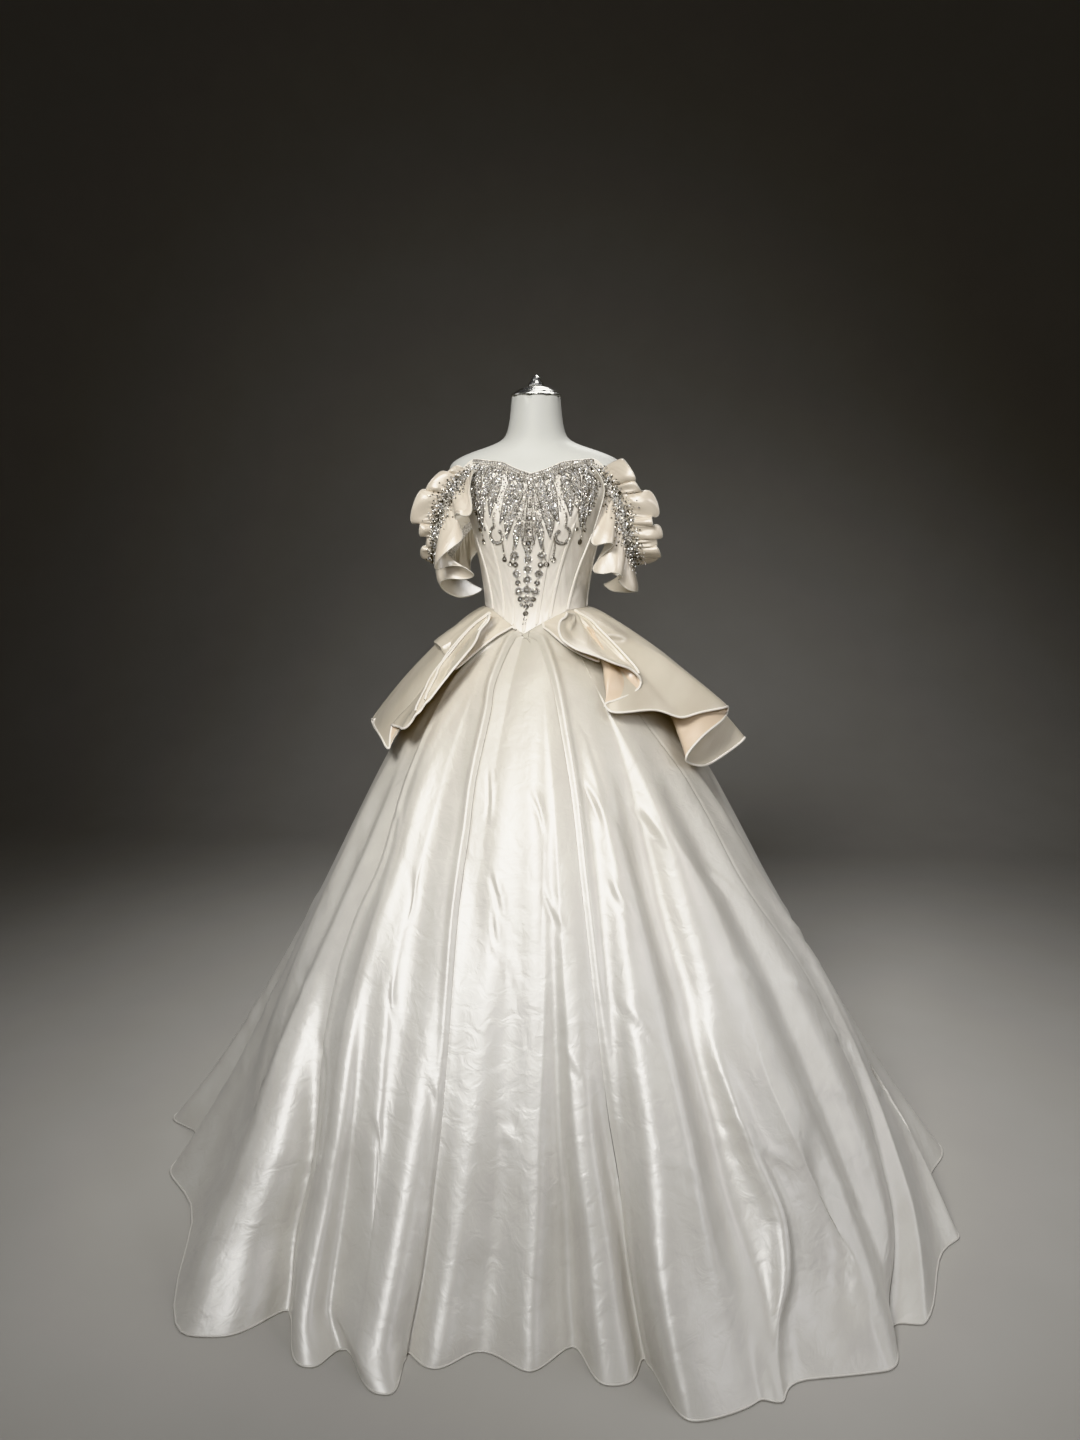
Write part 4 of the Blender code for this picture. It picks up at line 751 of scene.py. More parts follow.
skirt = {
    "turnHeight": 0.75, "foldGrowth": 1.3, "blendHeight": 1.02, "sideLean": 0.04,
    "backFullness": 0.015, "wall": 0.0018, "rows": 134, "hemCord": 0.0017,
    # height and radius in mm
    "profile": [
        (0, 800), (100, 722), (280, 610), (510, 482), (660, 405), (810, 325), (950, 236),
        (1020, 184), (1080, 137), (1120, 107), (1140, 94),
    ],
    # each fold: valley and its reach in mm, left and right shoulder with theirs, angle higher
    # up, and the height in mm at which it starts
    "folds": [
        (-180, 815, -176, 903, -170.5, 907, -173, 800),
        (-166, 812, -161.5, 900, -156, 896, -159, 950),
        (-152, 802, -147, 880, -142.5, 886, -145, 700),
        (-138.5, 775, -134.5, 855, -128, 842, -131, 950),
        (-124, 745, -119.5, 815, -115, 808, -118, 750),
        (-111, 722, -106.5, 776, -101.5, 766, -106, 900),
        (-97.5, 708, -93, 764, -88, 770, -95, 650), (-83.5, 735, -80, 798, -76.5, 800, -85, 600),
        (-71.5, 722, -64.5, 790, -59.5, 792, -72, 750),
        (-49.5, 764, -32, 958, -25.5, 893, -50, 1000),
        (-24.2, 790, -18.4, 903, -15.4, 893, -35, 800), (-15, 836, -9.8, 914, -6.8, 902, -24, 1000),
        (-8.1, 811, -5.6, 843, -2.9, 838, -8, 600), (0.2, 788, 4.6, 832, 6.9, 831, 8, 550),
        (11, 768, 12.2, 866, 16.2, 872, 14, 1000), (18.2, 806, 19.2, 962, 26.5, 962, 27, 950),
        (27.6, 955, 28.4, 970, 29.6, 964, 42, 600), (31.5, 946, 38.4, 992, 40.8, 998, 52, 1000),
        (44.2, 938, 45.6, 962, 47.6, 976, 68, 900), (58, 908, 61.8, 926, 63.8, 920, 84, 600),
        (73.7, 842, 79.5, 874, 84, 868, 99, 800), (89.5, 765, 95, 806, 100, 814, 112, 900),
        (105, 780, 110, 852, 115, 868, 124, 700), (120.5, 820, 125, 910, 130, 905, 136, 900),
        (135, 825, 139.5, 908, 144.5, 912, 148, 750), (149.5, 822, 154, 915, 158.5, 910, 160, 950),
        (164, 818, 168.5, 908, 174, 912, 171, 700),
    ],
    # each gore: first fold, folds, and columns of points for each fold
    "gores": [
        ("skirt_back_right", 0, 3, 13), ("skirt_side_back_right", 3, 3, 13),
        ("skirt_side_right", 6, 4, 18), ("skirt_side_front_right", 10, 2, 32),
        ("skirt_centre_front", 12, 3, 26), ("skirt_side_front_left", 15, 3, 28),
        ("skirt_side_left", 18, 3, 22), ("skirt_side_back_left", 21, 3, 13),
        ("skirt_back_left", 24, 3, 13),
    ],
    # lines that a fold or a seam follows down the skirt: fold place, then angle and height in mm
    "lines": [
        (10, [(-44, 1060), (-51.3, 973), (-48, 825), (-41.1, 654), (-41.7, 547), (-40.2, 466),
              (-36.7, 368), (-30.2, 217), (-28, 100), (-24.3, 0)]),
        (11.5, [(-30, 1060), (-31.5, 973), (-30, 850), (-27.9, 775), (-25.2, 620), (-24.4, 546),
                (-22.4, 457), (-18.7, 331), (-14.7, 167), (-12.2, 44), (-8.6, 0)]),
        (12, [(-8.6, 1070), (-16.7, 1068), (-20.7, 1031), (-20.9, 984), (-18.2, 927), (-17.2, 819),
              (-15.3, 716), (-14, 611), (-10.9, 432), (-9.4, 315), (-8.6, 194), (-8.3, 30)]),
        (15, [(-7.4, 1070), (2, 1066), (8.9, 1060), (14.2, 1020), (16.5, 978), (17.6, 915),
              (18.4, 799), (17.9, 652), (17.5, 504), (17.1, 321), (17.6, 197), (18.1, 0)]),
        (15.5, [(16, 1050), (23, 950), (26.6, 885), (26, 684), (23.8, 461), (22.4, 177), (22, 0)]),
        (16.7, [(36.6, 900), (37.8, 750), (38.6, 600), (37.3, 450), (36.2, 340), (36.2, 250),
                (36.3, 175), (34.2, 110), (31, 55), (29.2, 0)]),
        (17.5, [(38, 1020), (43.9, 829), (44.6, 738), (48.9, 598), (43.2, 368), (42.6, 208),
                (42.6, 91), (40.4, 47), (39.6, 0)]),
        (18, [(56.9, 921), (62.9, 784), (62.6, 644), (66, 405), (63, 283), (55, 118), (44.4, 0)]),
    ],
    "freeLines": (7.5, 22.0),  # at and beyond these places the cloth hangs as the folds alone say
    # pleats whose edge lies over the next gore: fold place, side of the overlap, ridge and lap
    # in mm; then how wide and how far in the ridge is, and the same of the hollow beside it
    "pleats": [(12.0, -1, 6.5, 3.0), (15.0, 1, 7.0, 4.0), (10.0, 1, 5.0, 3.0)],
    "ridgeShape": (0.0070, 0.010), "hollowShape": (0.016, 0.006), "hollow": 0.0006,
    "lapFade": 0.012,
    "seamDip": 0.0011, "seamWidth": 0.004,
    # soft troughs (minus) and ridges (plus): depth and width in mm, then angle and height in mm
    "drapes": [
        (-16.9, 47, [(-36, 980), (-31.5, 860), (-28.6, 775), (-24.5, 620), (-20.3, 450),
                     (-16.6, 250), (-14.4, 50)]),
        (13.3, 30, [(-44, 960), (-38.5, 800), (-34, 620), (-31, 450), (-24, 250)]),
        (-13.3, 30, [(-57, 900), (-54, 720), (-50, 520), (-47, 330), (-45, 150)]),
        (9.6, 24, [(-66, 860), (-62, 660), (-57, 450), (-52, 220)]),
        (-5.7, 44, [(-11.5, 990), (-10.5, 850), (-9.5, 700), (-7, 520)]),
        (4.8, 34, [(-6, 1020), (-5.8, 900), (-5, 760), (-4.2, 600), (-3, 420)]),
        (-4.8, 36, [(-0.5, 1000), (-0.8, 860), (-0.5, 700), (0.4, 520), (0.6, 360)]),
        (4.8, 34, [(5, 1010), (6, 880), (6.8, 720), (7, 550), (6.5, 380)]),
        (-5.7, 40, [(12.5, 960), (12.9, 820), (12.8, 660), (12, 480), (11.5, 300)]),
        (-15.1, 30, [(23.5, 930), (22.6, 780), (21, 600), (19.8, 420), (19, 220)]),
        (-16.9, 37, [(37, 900), (36.5, 740), (36, 560), (34, 380), (31.5, 200), (31, 60)]),
        (9.6, 24, [(31, 860), (30.5, 700), (29.5, 520), (27.5, 340), (26, 150)]),
        (11, 18, [(36.8, 460), (36.2, 340), (36.2, 250), (36.4, 175), (34.3, 110), (31, 55)]),
        (-10, 36, [(46, 270), (42, 140), (37, 40)]),
        (-18.9, 44, [(52, 860), (53.5, 700), (55, 520), (53, 340), (50, 180), (46, 50)]),
        (13.3, 30, [(72, 820), (74, 640), (74, 460), (70, 260)]),
        (-13.3, 34, [(82, 800), (84, 600), (82, 420), (77, 220), (74, 50)]),
        (-13.3, 34, [(-92, 800), (-91, 620), (-88, 420), (-85, 200)]),
        (11.3, 30, [(-104, 840), (-102, 600), (-99, 360)]),
        (-15.1, 37, [(-118, 900), (-117, 660), (-116, 420), (-113, 150)]),
        (11.2, 26, [(-127, 920), (-127, 660), (-126, 400)]),
        (-15.1, 32, [(-146, 940), (-147, 720), (-149, 500), (-151, 200)]),
        (8.6, 35, [(-157, 980), (-158, 700), (-159, 440)]),
        (-15.1, 30, [(-169, 960), (-169, 700), (-167, 440), (-166, 200)]),
        (-15.1, 34, [(168, 940), (167, 720), (165, 480), (164, 200)]),
        (8.6, 35, [(157, 980), (156, 700), (155, 440)]),
        (-15.1, 34, [(146, 920), (146, 700), (148, 460), (150, 200)]),
        (11.2, 26, [(130, 940), (129, 680), (128, 420)]),
        (-15.1, 39, [(118, 900), (117, 660), (118, 420), (120, 150)]),
        (11.3, 30, [(104, 860), (102, 620), (99, 360)]),
    ],
    # pressed and pinched creases: angle and height in mm of both ends, bow, depth and width in mm
    "creases": [
        (-6.5, 660, -2, 575, 6, 3.6, 5), (-4.4, 600, -1.6, 530, -4, 3.4, 4),
        (-1.2, 535, 1.2, 470, 5, 3.1, 5), (-4.6, 545, -0.6, 520, -5, 3.4, 4),
        (-0.8, 300, 1.6, 235, 4, 3.6, 4), (3.4, 310, 0.9, 235, -3, 3.1, 4),
        (-2.6, 270, -0.8, 190, 3, 2.2, 4), (-22, 300, -16.5, 240, 8, 2.8, 6),
        (-13.5, 360, -10, 300, 4, 2.2, 5), (-38, 360, -29, 270, 10, 3.1, 7),
        (-47, 300, -37, 235, -8, 2.8, 6), (-33, 190, -26, 145, 6, 2.5, 5),
        (-52, 450, -44, 400, 8, 2.2, 7), (-59, 580, -53, 500, 10, 2.2, 8),
        (-45, 750, -39, 680, 8, 2, 7), (-30, 660, -25.5, 560, 10, 2.2, 7),
        (-25, 490, -20, 420, -8, 2.2, 6), (-12.5, 830, -9.5, 740, 5, 1.8, 5),
        (4, 800, 8.5, 720, 6, 1.8, 6), (8, 640, 13, 570, -6, 2.1, 6),
        (9, 400, 14.5, 350, 6, 2.2, 6), (21, 830, 26, 730, 8, 2.2, 7),
        (24, 660, 29, 590, -8, 2.2, 7), (20, 480, 26, 400, 8, 2.4, 7),
        (22, 270, 28, 210, 7, 2.5, 6), (30, 520, 36, 430, -10, 2.4, 8),
        (33, 300, 39, 220, 8, 2.5, 7), (36, 780, 42, 680, 8, 2.1, 8),
        (44, 500, 52, 430, 12, 2.7, 9), (43, 200, 50, 125, 9, 3.1, 7),
        (38, 120, 44, 65, -6, 3.1, 6), (51, 660, 58, 570, 10, 2.2, 8),
        (52, 310, 60, 240, -9, 3.1, 8), (57, 450, 66, 360, 12, 3.4, 8),
        (61, 340, 68, 270, 9, 3.6, 7), (70, 500, 78, 400, 10, 2.8, 9),
        (66, 220, 75, 150, 8, 3.1, 7), (80, 300, 90, 210, 10, 2.8, 8),
        (72, 700, 79, 600, 9, 2.1, 8), (-78, 440, -68, 360, 10, 2.5, 8),
        (-88, 280, -76, 200, 9, 2.8, 8), (-72, 170, -63, 110, 6, 2.8, 6),
        (-56, 155, -47, 100, 7, 2.8, 6), (-95, 620, -86, 520, 9, 2.1, 9),
    ],
    # the hidden sides are crumpled in the same way: turn of each echo and share of its depth
    "creaseEchoes": [(118.0, 0.9), (-132.0, 0.9), (178.0, 0.8)],
    # in front the folds deepen towards the hem: by this share, from this height, within this
    "deepening": (0.5, 0.50, 0.35),
}
foldTable = thousandths(skirt["folds"], 1, 3, 5, 7)
foldCount = len(foldTable)
profileTable = thousandths(skirt["profile"], 0, 1)
skirtProfile = smoothCurve(profileTable[:, 0], profileTable[:, 1])


def roundTheSkirt(values, turn=0.0, width=0.09):
    # A curve right round the skirt through four values for each fold, slightly rounded off
    flat = np.asarray(values, float).reshape(-1)
    around = np.concatenate([flat[-8:] - turn, flat, flat[:8] + turn])
    fine = np.arange(-96, (foldCount + 2) * 48 + 1) / 48
    table = blurred(smoothCurve((np.arange(len(around)) - 8) / 4, around)(fine), width * 48)
    return lambda places: np.interp(places, fine, table)


valleyHem, dipReach, leftHem, leftReach, rightHem, rightReach, crestAngle, foldStart = foldTable.T
valleyAngle = (crestAngle + np.concatenate([[crestAngle[-1] - 360], crestAngle[:-1]])) / 2
nextValley = np.concatenate([valleyAngle[1:], [valleyAngle[0] + 360]])
hemKnots = np.stack([valleyHem, leftHem, (leftHem + rightHem) / 2, rightHem], 1)
hemAngle = roundTheSkirt(hemKnots, 360.0)
reachKnots = np.stack([dipReach, leftReach, (leftReach + rightReach) / 2 + 0.006, rightReach], 1)
hemReach = roundTheSkirt(reachKnots)
softReach = roundTheSkirt(reachKnots, 0.0, 0.36)  # the same folds as they soften higher up
upperAngle = roundTheSkirt(np.stack([
    valleyAngle, 0.35 * valleyAngle + 0.65 * crestAngle, crestAngle,
    0.65 * crestAngle + 0.35 * nextValley], 1), 360.0)
startHeight = roundTheSkirt(np.tile(foldStart[:, None], (1, 4)), 0.0, 0.25)

# The bodice's lower edge by angle round the axis: radius and height of its outer face
waistSections = np.linspace(-180.0, 180.0, 721)
waistLine = (waistSections, waistHeights(waistSections))
waistPoints = formPoints(*waistLine) + formNormals(*waistLine) * outside
waistAngles = np.degrees(np.arctan2(waistPoints[:, 0], -waistPoints[:, 1]))
waistAngles[0], waistAngles[-1] = -180.0, 180.0
waistRadii = np.hypot(waistPoints[:, 0], waistPoints[:, 1])


def waistRadius(angles):
    return np.interp(wrapped(angles), waistAngles, waistRadii)


def waistLevel(angles):
    return np.interp(wrapped(angles), waistAngles, waistPoints[:, 2])


def freeAngles(places, level):
    uppers = upperAngle(places)
    return uppers + (hemAngle(places) - uppers) * ease(1.0 - level / skirt["turnHeight"])


def lineShift(place, knots):
    # How far a line turns its place's cloth from where the folds alone hold it
    angles, heights = thousandths(knots, 1)[::-1].T
    levels = np.minimum(heights * waist / waistLevel(angles), waist)
    levels = np.maximum.accumulate(levels + np.arange(len(levels)) * 1e-6)
    free = np.array([freeAngles(np.array([place]), level)[0] for level in levels])
    return smoothCurve(levels, angles - free)


skirtLines = [(place, lineShift(place, knots)) for place, knots in skirt["lines"]]


def skirtAngles(places, level):
    low, high = skirt["freeLines"]
    linePlaces = [low - 0.5, low] + [place for place, shift in skirtLines] + [high, high + 0.5]
    turns = [0.0, 0.0] + [float(shift(level)) for place, shift in skirtLines] + [0.0, 0.0]
    return freeAngles(places, level) + smoothCurve(linePlaces, turns)(places)


def skirtRing(places, level):
    # Angle, radius and height of the skirt's outer face before its relief
    angles = skirtAngles(places, level)
    roundness = ease((waist - level) / (waist - skirt["blendHeight"]))
    lean = np.radians(angles)
    fullness = skirt["sideLean"] * np.sin(lean) + skirt["backFullness"] * (1 - np.cos(lean))
    fullness = 1.0 + fullness * roundness
    starts = startHeight(places)
    growth = np.clip((starts - level) / starts, 0.0, 1.0) ** skirt["foldGrowth"]
    soften = 0.85 * ease(level / 0.60)
    reach = hemReach(places) * (1 - soften) + softReach(places) * soften
    radii = skirtProfile(level) * fullness + (reach - skirtProfile(0.0) * fullness) * growth
    radii = radii + (1.0 - roundness) * (waistRadius(angles) - skirtProfile(waist))
    return angles, radii, level / waist * waistLevel(angles)


def everyCrease():
    rows = list(skirt["creases"])
    for turn, share in skirt["creaseEchoes"]:
        rows += [(start + turn, low, end + turn, high, bow, depth * share, width)
                 for start, low, end, high, bow, depth, width in skirt["creases"][::2]]
    return thousandths(rows, 1, 3, 4, 5, 6)


def skirtRelief(angles, radii, heights):
    # How far the cloth stands off its plain surface, in metres
    relief = np.zeros_like(angles)
    for depth, width, knots in skirt["drapes"]:
        knots = thousandths(knots, 1)[::-1]
        aside = wrapped(angles - smoothCurve(knots[:, 1], knots[:, 0])(heights))
        share = (heights - knots[0, 1]) / (knots[-1, 1] - knots[0, 1])
        fade = ease((share + 0.18) / 0.36) * ease((1.12 - share) / 0.40)
        relief += depth / 1000 * fade * bump(np.radians(aside) * radii / (width / 1000))
    front = ease((90.0 - np.abs(wrapped(angles))) / 30.0)
    more, start, within = skirt["deepening"]
    relief *= 1.0 + more * front * ease((start - heights) / within)
    for startAngle, startLevel, endAngle, endLevel, bow, depth, width in everyCrease():
        middle = (startLevel + endLevel) / 2
        near = np.interp(middle, profileTable[:, 0], profileTable[:, 1])
        x = np.radians(wrapped(angles - (startAngle + endAngle) / 2)) * near
        z = heights - middle
        run = np.array([np.radians(endAngle - startAngle) * near, endLevel - startLevel])
        length = np.hypot(*run)
        ahead = run / length
        along = (x * ahead[0] + z * ahead[1]) / length + 0.5
        off = -x * ahead[1] + z * ahead[0] - bow * np.sin(math.pi * np.clip(along, 0, 1))
        off = off / width
        hold = ease((along + 0.05) / 0.35) * ease((1.05 - along) / 0.5)
        relief += depth * hold * (bump(off - 0.9) - 0.9 * bump((off + 0.5) / 0.8))
    return relief


def skirtLevels():
    # Rows stand closer near the waist, where the pleats turn, and at the hem
    share = np.linspace(0.0, 1.0, skirt["rows"])
    return waist * (1.0 - (0.45 * share**2.2 + 0.55 * share))


skirtSurface = {"levels": skirtLevels(), "angles": [], "radii": []}


def addGore(node, firstFold, folds, steps):
    columns = np.arange(folds * steps + 1) / (folds * steps)
    # Columns crowd towards both seams
    places = firstFold + folds * (columns - 0.62 * np.sin(2 * math.pi * columns) / (2 * math.pi))
    levels = skirtSurface["levels"]
    rings = [skirtRing(places, level) for level in levels]
    angles, radii, heights = (np.stack([ring[i] for ring in rings], 1) for i in range(3))
    points = aroundAxis(angles, radii, heights)
    normals = gridNormals(points)
    fromFirst = lengthsAlong(points)
    fromLast = fromFirst[-1:] - fromFirst
    # Near the waist the relief dies away, because the cloth is sewn flat there
    relief = skirtRelief(angles, radii, heights) * ease((waist - levels) / 0.10)
    # A plain seam lies a little below the cloth beside it
    for distance in (fromFirst, fromLast):
        relief -= skirt["seamDip"] * bump(distance / skirt["seamWidth"])
    lap = np.zeros_like(relief)
    for place, side, ridge, overlap in skirt["pleats"]:
        strength = (0.35 + 0.65 * ease((levels - 0.30) / 0.45)) * ease((waist - levels) / 0.030)
        for edge, distance, sign in ((firstFold, fromFirst, 1), (firstFold + folds, fromLast, -1)):
            if abs(edge - place) > 0.01:
                continue
            if sign == side:  # this gore's edge lies on top
                width, inwards = skirt["ridgeShape"]
                relief += strength * (ridge / 1000 * bump((distance - inwards) / width)
                                      + skirt["seamDip"] * bump(distance / skirt["seamWidth"]))
                lap -= sign * strength * overlap / 1000 * bump(distance / skirt["lapFade"])
            else:
                width, inwards = skirt["hollowShape"]
                relief -= strength * skirt["hollow"] * bump((distance - inwards) / width)
    across = unit(np.gradient(points, axis=0))
    outer = points + normals * relief[..., None] + across * lap[..., None]
    outer[..., 2] = np.maximum(outer[..., 2], 0.0002)  # clear of the floor
    outer[:, 0, 2] -= 0.0004  # and of the bodice
    drawnIn(outer)
    level = np.array([1.0, 1.0, 0.0])
    outerNormals = gridNormals(outer)
    outerNormals[:, -1] = unit(outerNormals[:, -1] * level)
    inner = outer - outerNormals * skirt["wall"]
    inner[:, 0] = outer[:, 0] - unit(outer[:, 0] * level) * skirt["wall"]
    piece = clothWall(pieceName(node) + "Gore", outer, inner, [ivorySatin])
    hem = (outer[:, -1] + inner[:, -1]) / 2 + np.array([0.0, 0.0, skirt["hemCord"]])
    cord = cordPiece(pieceName(node) + "Hem", [(hem, skirt["hemCord"])], ivorySatin)
    declareCloth(piece, outer, "ivory_satin", node, [cord])
    turned = np.arctan2(outer[..., 0], -outer[..., 1])
    skirtSurface["angles"].append(np.degrees(np.unwrap(turned, axis=0)))
    skirtSurface["radii"].append(np.hypot(outer[..., 0], outer[..., 1]))


def surfaceTable():
    # Radius of the finished skirt for each row and each quarter of a degree
    allAngles = wrapped(np.concatenate(skirtSurface["angles"]))
    allRadii = np.concatenate(skirtSurface["radii"])
    grid = np.linspace(-180.0, 180.0, 1441)
    rows = []
    for ring, radii in zip(allAngles.T, allRadii.T):
        order = np.argsort(ring)
        rows.append(np.interp(grid, ring[order], radii[order], period=360))
    return np.array(rows)


def skirtReach(angles, heights):
    # How far the skirt's finished surface is from the axis, at angles and heights
    table, levels = skirtSurface["table"], skirtSurface["levels"]
    place = np.interp(-heights * waist / waistLevel(angles), -levels, np.arange(len(levels)))
    low = np.clip(place.astype(int), 0, len(levels) - 2)
    share = place - low
    column = ((angles + 180) % 360) * 4
    left = np.clip(column.astype(int), 0, table.shape[1] - 2)
    part = column - left
    upper, lower = (table[row, left] * (1 - part) + table[row, left + 1] * part
                    for row in (low, low + 1))
    return upper * (1 - share) + lower * share


for gore in skirt["gores"]:
    addGore(*gore)
skirtSurface["table"] = surfaceTable()
print("skirt done")

# Peplum

peplum = {
    "seat": 0.0030, "drop": 0.0015, "wall": 0.0015, "bulge": 0.55, "steps": 8, "rows": 34,
    "pipe": 0.0024, "pipeLift": 0.0018, "blur": 0.34,
    # the free edge: waist angle that it falls from, its own angle, its height and stand-off in mm
    "left": [
        (15, 15, 1084, 3), (18, 19, 1079, 7), (22, 23.5, 1068, 10), (26, 28.5, 1053, 12),
        (30, 34.5, 1039, 13), (34, 41, 1027, 14), (37, 44.5, 1022, 16), (39, 45, 1036, 19),
        (41, 42, 1070, 26), (42.6, 38, 1098, 34), (43.8, 32.5, 1117, 46), (44.8, 29.2, 1109, 56),
        (45.6, 24.5, 1105, 63), (46.3, 22.4, 1096, 68), (47, 20.9, 1086, 70),
        (47.8, 21.2, 1073, 70), (48.7, 23.4, 1063, 68), (49.7, 28.3, 1050, 69),
        (50.7, 36.4, 1039, 68), (51.6, 44.3, 1022, 64), (52.5, 52.1, 1011, 57), (53.2, 55, 995, 50),
        (53.9, 57, 981, 43), (54.8, 53.3, 970, 38), (55.7, 45.1, 960, 33), (56.5, 40, 954, 27),
        (57.3, 36, 948, 22), (58.2, 37.5, 938, 21), (59.8, 38.6, 933, 30), (63, 56.9, 935, 44),
        (69, 62.5, 912, 70), (75, 70, 922, 94), (80, 79, 927, 123), (82.5, 82, 915, 124),
        (84.5, 77, 906, 121), (87, 69, 889, 93), (89.5, 62, 856, 49), (91.5, 60, 840, 34),
        (93.5, 64, 823, 16), (96, 73, 808, 22), (98.5, 84, 836, 86), (100.5, 89, 852, 122),
        (103, 93, 832, 80), (106, 97, 812, 55),
    ],
    "right": [
        (20, 20, 1090, 3), (23.5, 27.5, 1078, 7), (27, 34.5, 1064, 10), (30.5, 40, 1040, 12),
        (34, 44.5, 1012, 14), (36.5, 46.5, 1002, 18), (38.5, 46, 1030, 26), (40, 44, 1072, 34),
        (41.2, 41.5, 1102, 38), (42.2, 38, 1112, 40), (43.2, 34.8, 1104, 46), (44.4, 37, 1082, 54),
        (46, 34.2, 1060, 58), (48, 36.2, 1027, 60), (50.5, 39.9, 983, 60), (53, 42.2, 945, 58),
        (55.5, 44.5, 916, 55), (57.5, 46.3, 894, 52), (59, 54, 892, 50), (60.3, 59.1, 892, 48),
        (61.5, 57.5, 878, 47), (63, 54.9, 861, 46), (64.6, 53.4, 847, 45), (66.2, 59.6, 861, 48),
        (68.5, 69, 872, 56), (71, 82.5, 874, 64), (73.2, 82.3, 883, 66), (75.5, 81.5, 872, 54),
        (78.5, 80, 860, 36), (83, 84, 862, 50), (88, 97.3, 863, 80), (92.5, 97.3, 863, 86),
        (98, 96.5, 842, 64), (104, 98, 830, 46),
    ],
    "back": [
        (112, 108, 845, 66), (119, 120, 862, 100), (127, 126, 844, 52), (135, 138, 862, 96),
        (143, 144, 842, 50), (151, 155, 860, 90), (159, 161, 844, 50), (168, 171, 858, 78),
        (178, 178.6, 850, 50),
    ],
    # flaps that end in a corner: mm, width and waist angle, share of the fall to the corner
    "leftFlaps": [(17, 8.0, 66.0, 0.27)],
    "rightFlaps": [(27, 8.0, 68.0, 0.30)],
    # soft hollows (minus) and rolls (plus): mm, width (minus for a step up), waist angle at the
    # top and at the edge, from and to down the fall
    "leftForms": [
        (-13, 3.2, 49.6, 49.8, 0.08, 1), (8, -0.7, 52.6, 52.6, 0.02, 1.05),
        (19, 3.2, 72, 79, 0.25, 1.2), (-12, 4.5, 63, 71, 0.2, 1.1), (7, 3, 97, 98, 0.4, 1.2),
    ],
    "rightForms": [
        (-5, 2.4, 46.5, 50, 0.1, 0.9), (-12, 4, 60, 61, 0.3, 1), (6, 3, 55.5, 57, 0.2, 1.2),
    ],
    "backForms": [
        (7, 4, 119, 119, 0.3, 1.3), (-6, 4, 127, 127, 0.2, 1.1), (7, 4, 135, 136, 0.3, 1.3),
        (-6, 4, 143, 143, 0.25, 1.1), (6, 4, 152, 152, 0.3, 1.3), (-5, 4, 160, 160, 0.25, 1.1),
    ],
    # pressed folds beside them: rise in mm, width and waist angle, from and to down the fall
    "pressed": [
        (-9, 0.9, 51.8, 0.02, 1), (5, 0.5, 53.3, 0.02, 1.1), (-5, 0.5, 54.2, 0.02, 1),
        (5, 0.5, 55.1, 0.02, 1.1), (-8, 1, 56.7, 0.04, 0.95), (4, 0.6, 47.6, 0.15, 0.8),
    ],
    "foldPipes": [53.3, 55.1],  # two more piped folds run down from the waist at these angles
}


def peplumGrid(table, forms, flaps, sign):
    table = thousandths(table, 2, 3)
    rows = np.arange(len(table))
    columns = np.arange(peplum["steps"] * (len(table) - 1) + 1) / peplum["steps"]
    values = np.stack([smoothCurve(rows, column)(columns) for column in table.T], axis=1)
    values = blurred(values, peplum["blur"] * peplum["steps"])
    fallsFrom, edgeAngle, edgeHeight, standOff = values.T
    depths = np.linspace(0.0, 1.0, peplum["rows"]) ** 1.15
    top = waistLevel(sign * fallsFrom) - peplum["drop"]
    layers = []
    for depth in depths:
        angles = sign * (fallsFrom + (edgeAngle - fallsFrom) * depth**1.2)
        heights = top + (edgeHeight - top) * depth
        reach = standOff * depth ** peplum["bulge"]
        for rise, width, upper, lower, start, end in forms:
            aside = fallsFrom - (upper + (lower - upper) * depth)
            shape = bump(aside / width)
            if width < 0:  # a step up that dies away over the next degrees
                past = aside / -width
                shape = ease(past) * np.exp(-np.maximum(past, 0.0) / 7)
            reach = reach + rise / 1000 * window(depth, start, end, 0.25) * shape
        for rise, width, angle, corner in flaps:
            hold = ease(depth / corner) * ease((corner + 0.05 - depth) / 0.07)
            reach = reach + rise / 1000 * hold * bump((fallsFrom - angle) / width)
        reach = np.maximum(reach, 0.0)
        heights = np.minimum(heights, waistLevel(angles) + 0.3 * reach - peplum["drop"])
        seat = peplum["seat"] * (0.4 + 0.6 * ease(depth / 0.1))
        radii = skirtReach(angles, np.minimum(heights, waistLevel(angles))) + seat + reach
        layers.append(aroundAxis(angles, radii, heights))
    inner = np.stack(layers, axis=1)
    normals = gridNormals(inner) * sign
    for rise, width, angle, start, end in peplum["pressed"]:
        shape = np.outer(bump((fallsFrom - angle) / width), window(depths, start, end, 0.2))
        inner = inner + normals * (rise / 1000 * shape)[..., None]
    return inner + gridNormals(inner) * sign * peplum["wall"], inner, fallsFrom


def addFlounce(side, sign):
    capital = side.capitalize()
    outer, inner, fallsFrom = peplumGrid(peplum[side] + peplum["back"],
                                         peplum[f"{side}Forms"] + peplum["backForms"],
                                         peplum[f"{side}Flaps"], sign)
    # The inner face takes the peach copy of the satin: painted shade and bounced light
    piece = clothWall(f"peplum{capital}Flounce", outer, inner, [champagneSatin, peachPaintedShade])
    middle = (outer + inner) / 2
    edge = np.concatenate([middle[0, :-1], middle[:, -1], middle[-1, -2::-1]])
    pipes = [(edge[2:-2], peplum["pipe"])]
    lifted = outer + gridNormals(outer) * sign * peplum["pipeLift"]
    for angle in peplum["foldPipes"]:
        column = int(np.argmin(np.abs(fallsFrom - angle)))
        pipes.append((lifted[column, 1:-1], peplum["pipe"]))
    # The piping takes the lighter bodice satin so that its lines read bright: a painted highlight
    pipe = cordPiece(f"peplum{capital}Piping", pipes, bodiceSatin)
    declareCloth(piece, outer, "champagne_satin", f"peplum_{side}",
                 [pipe])


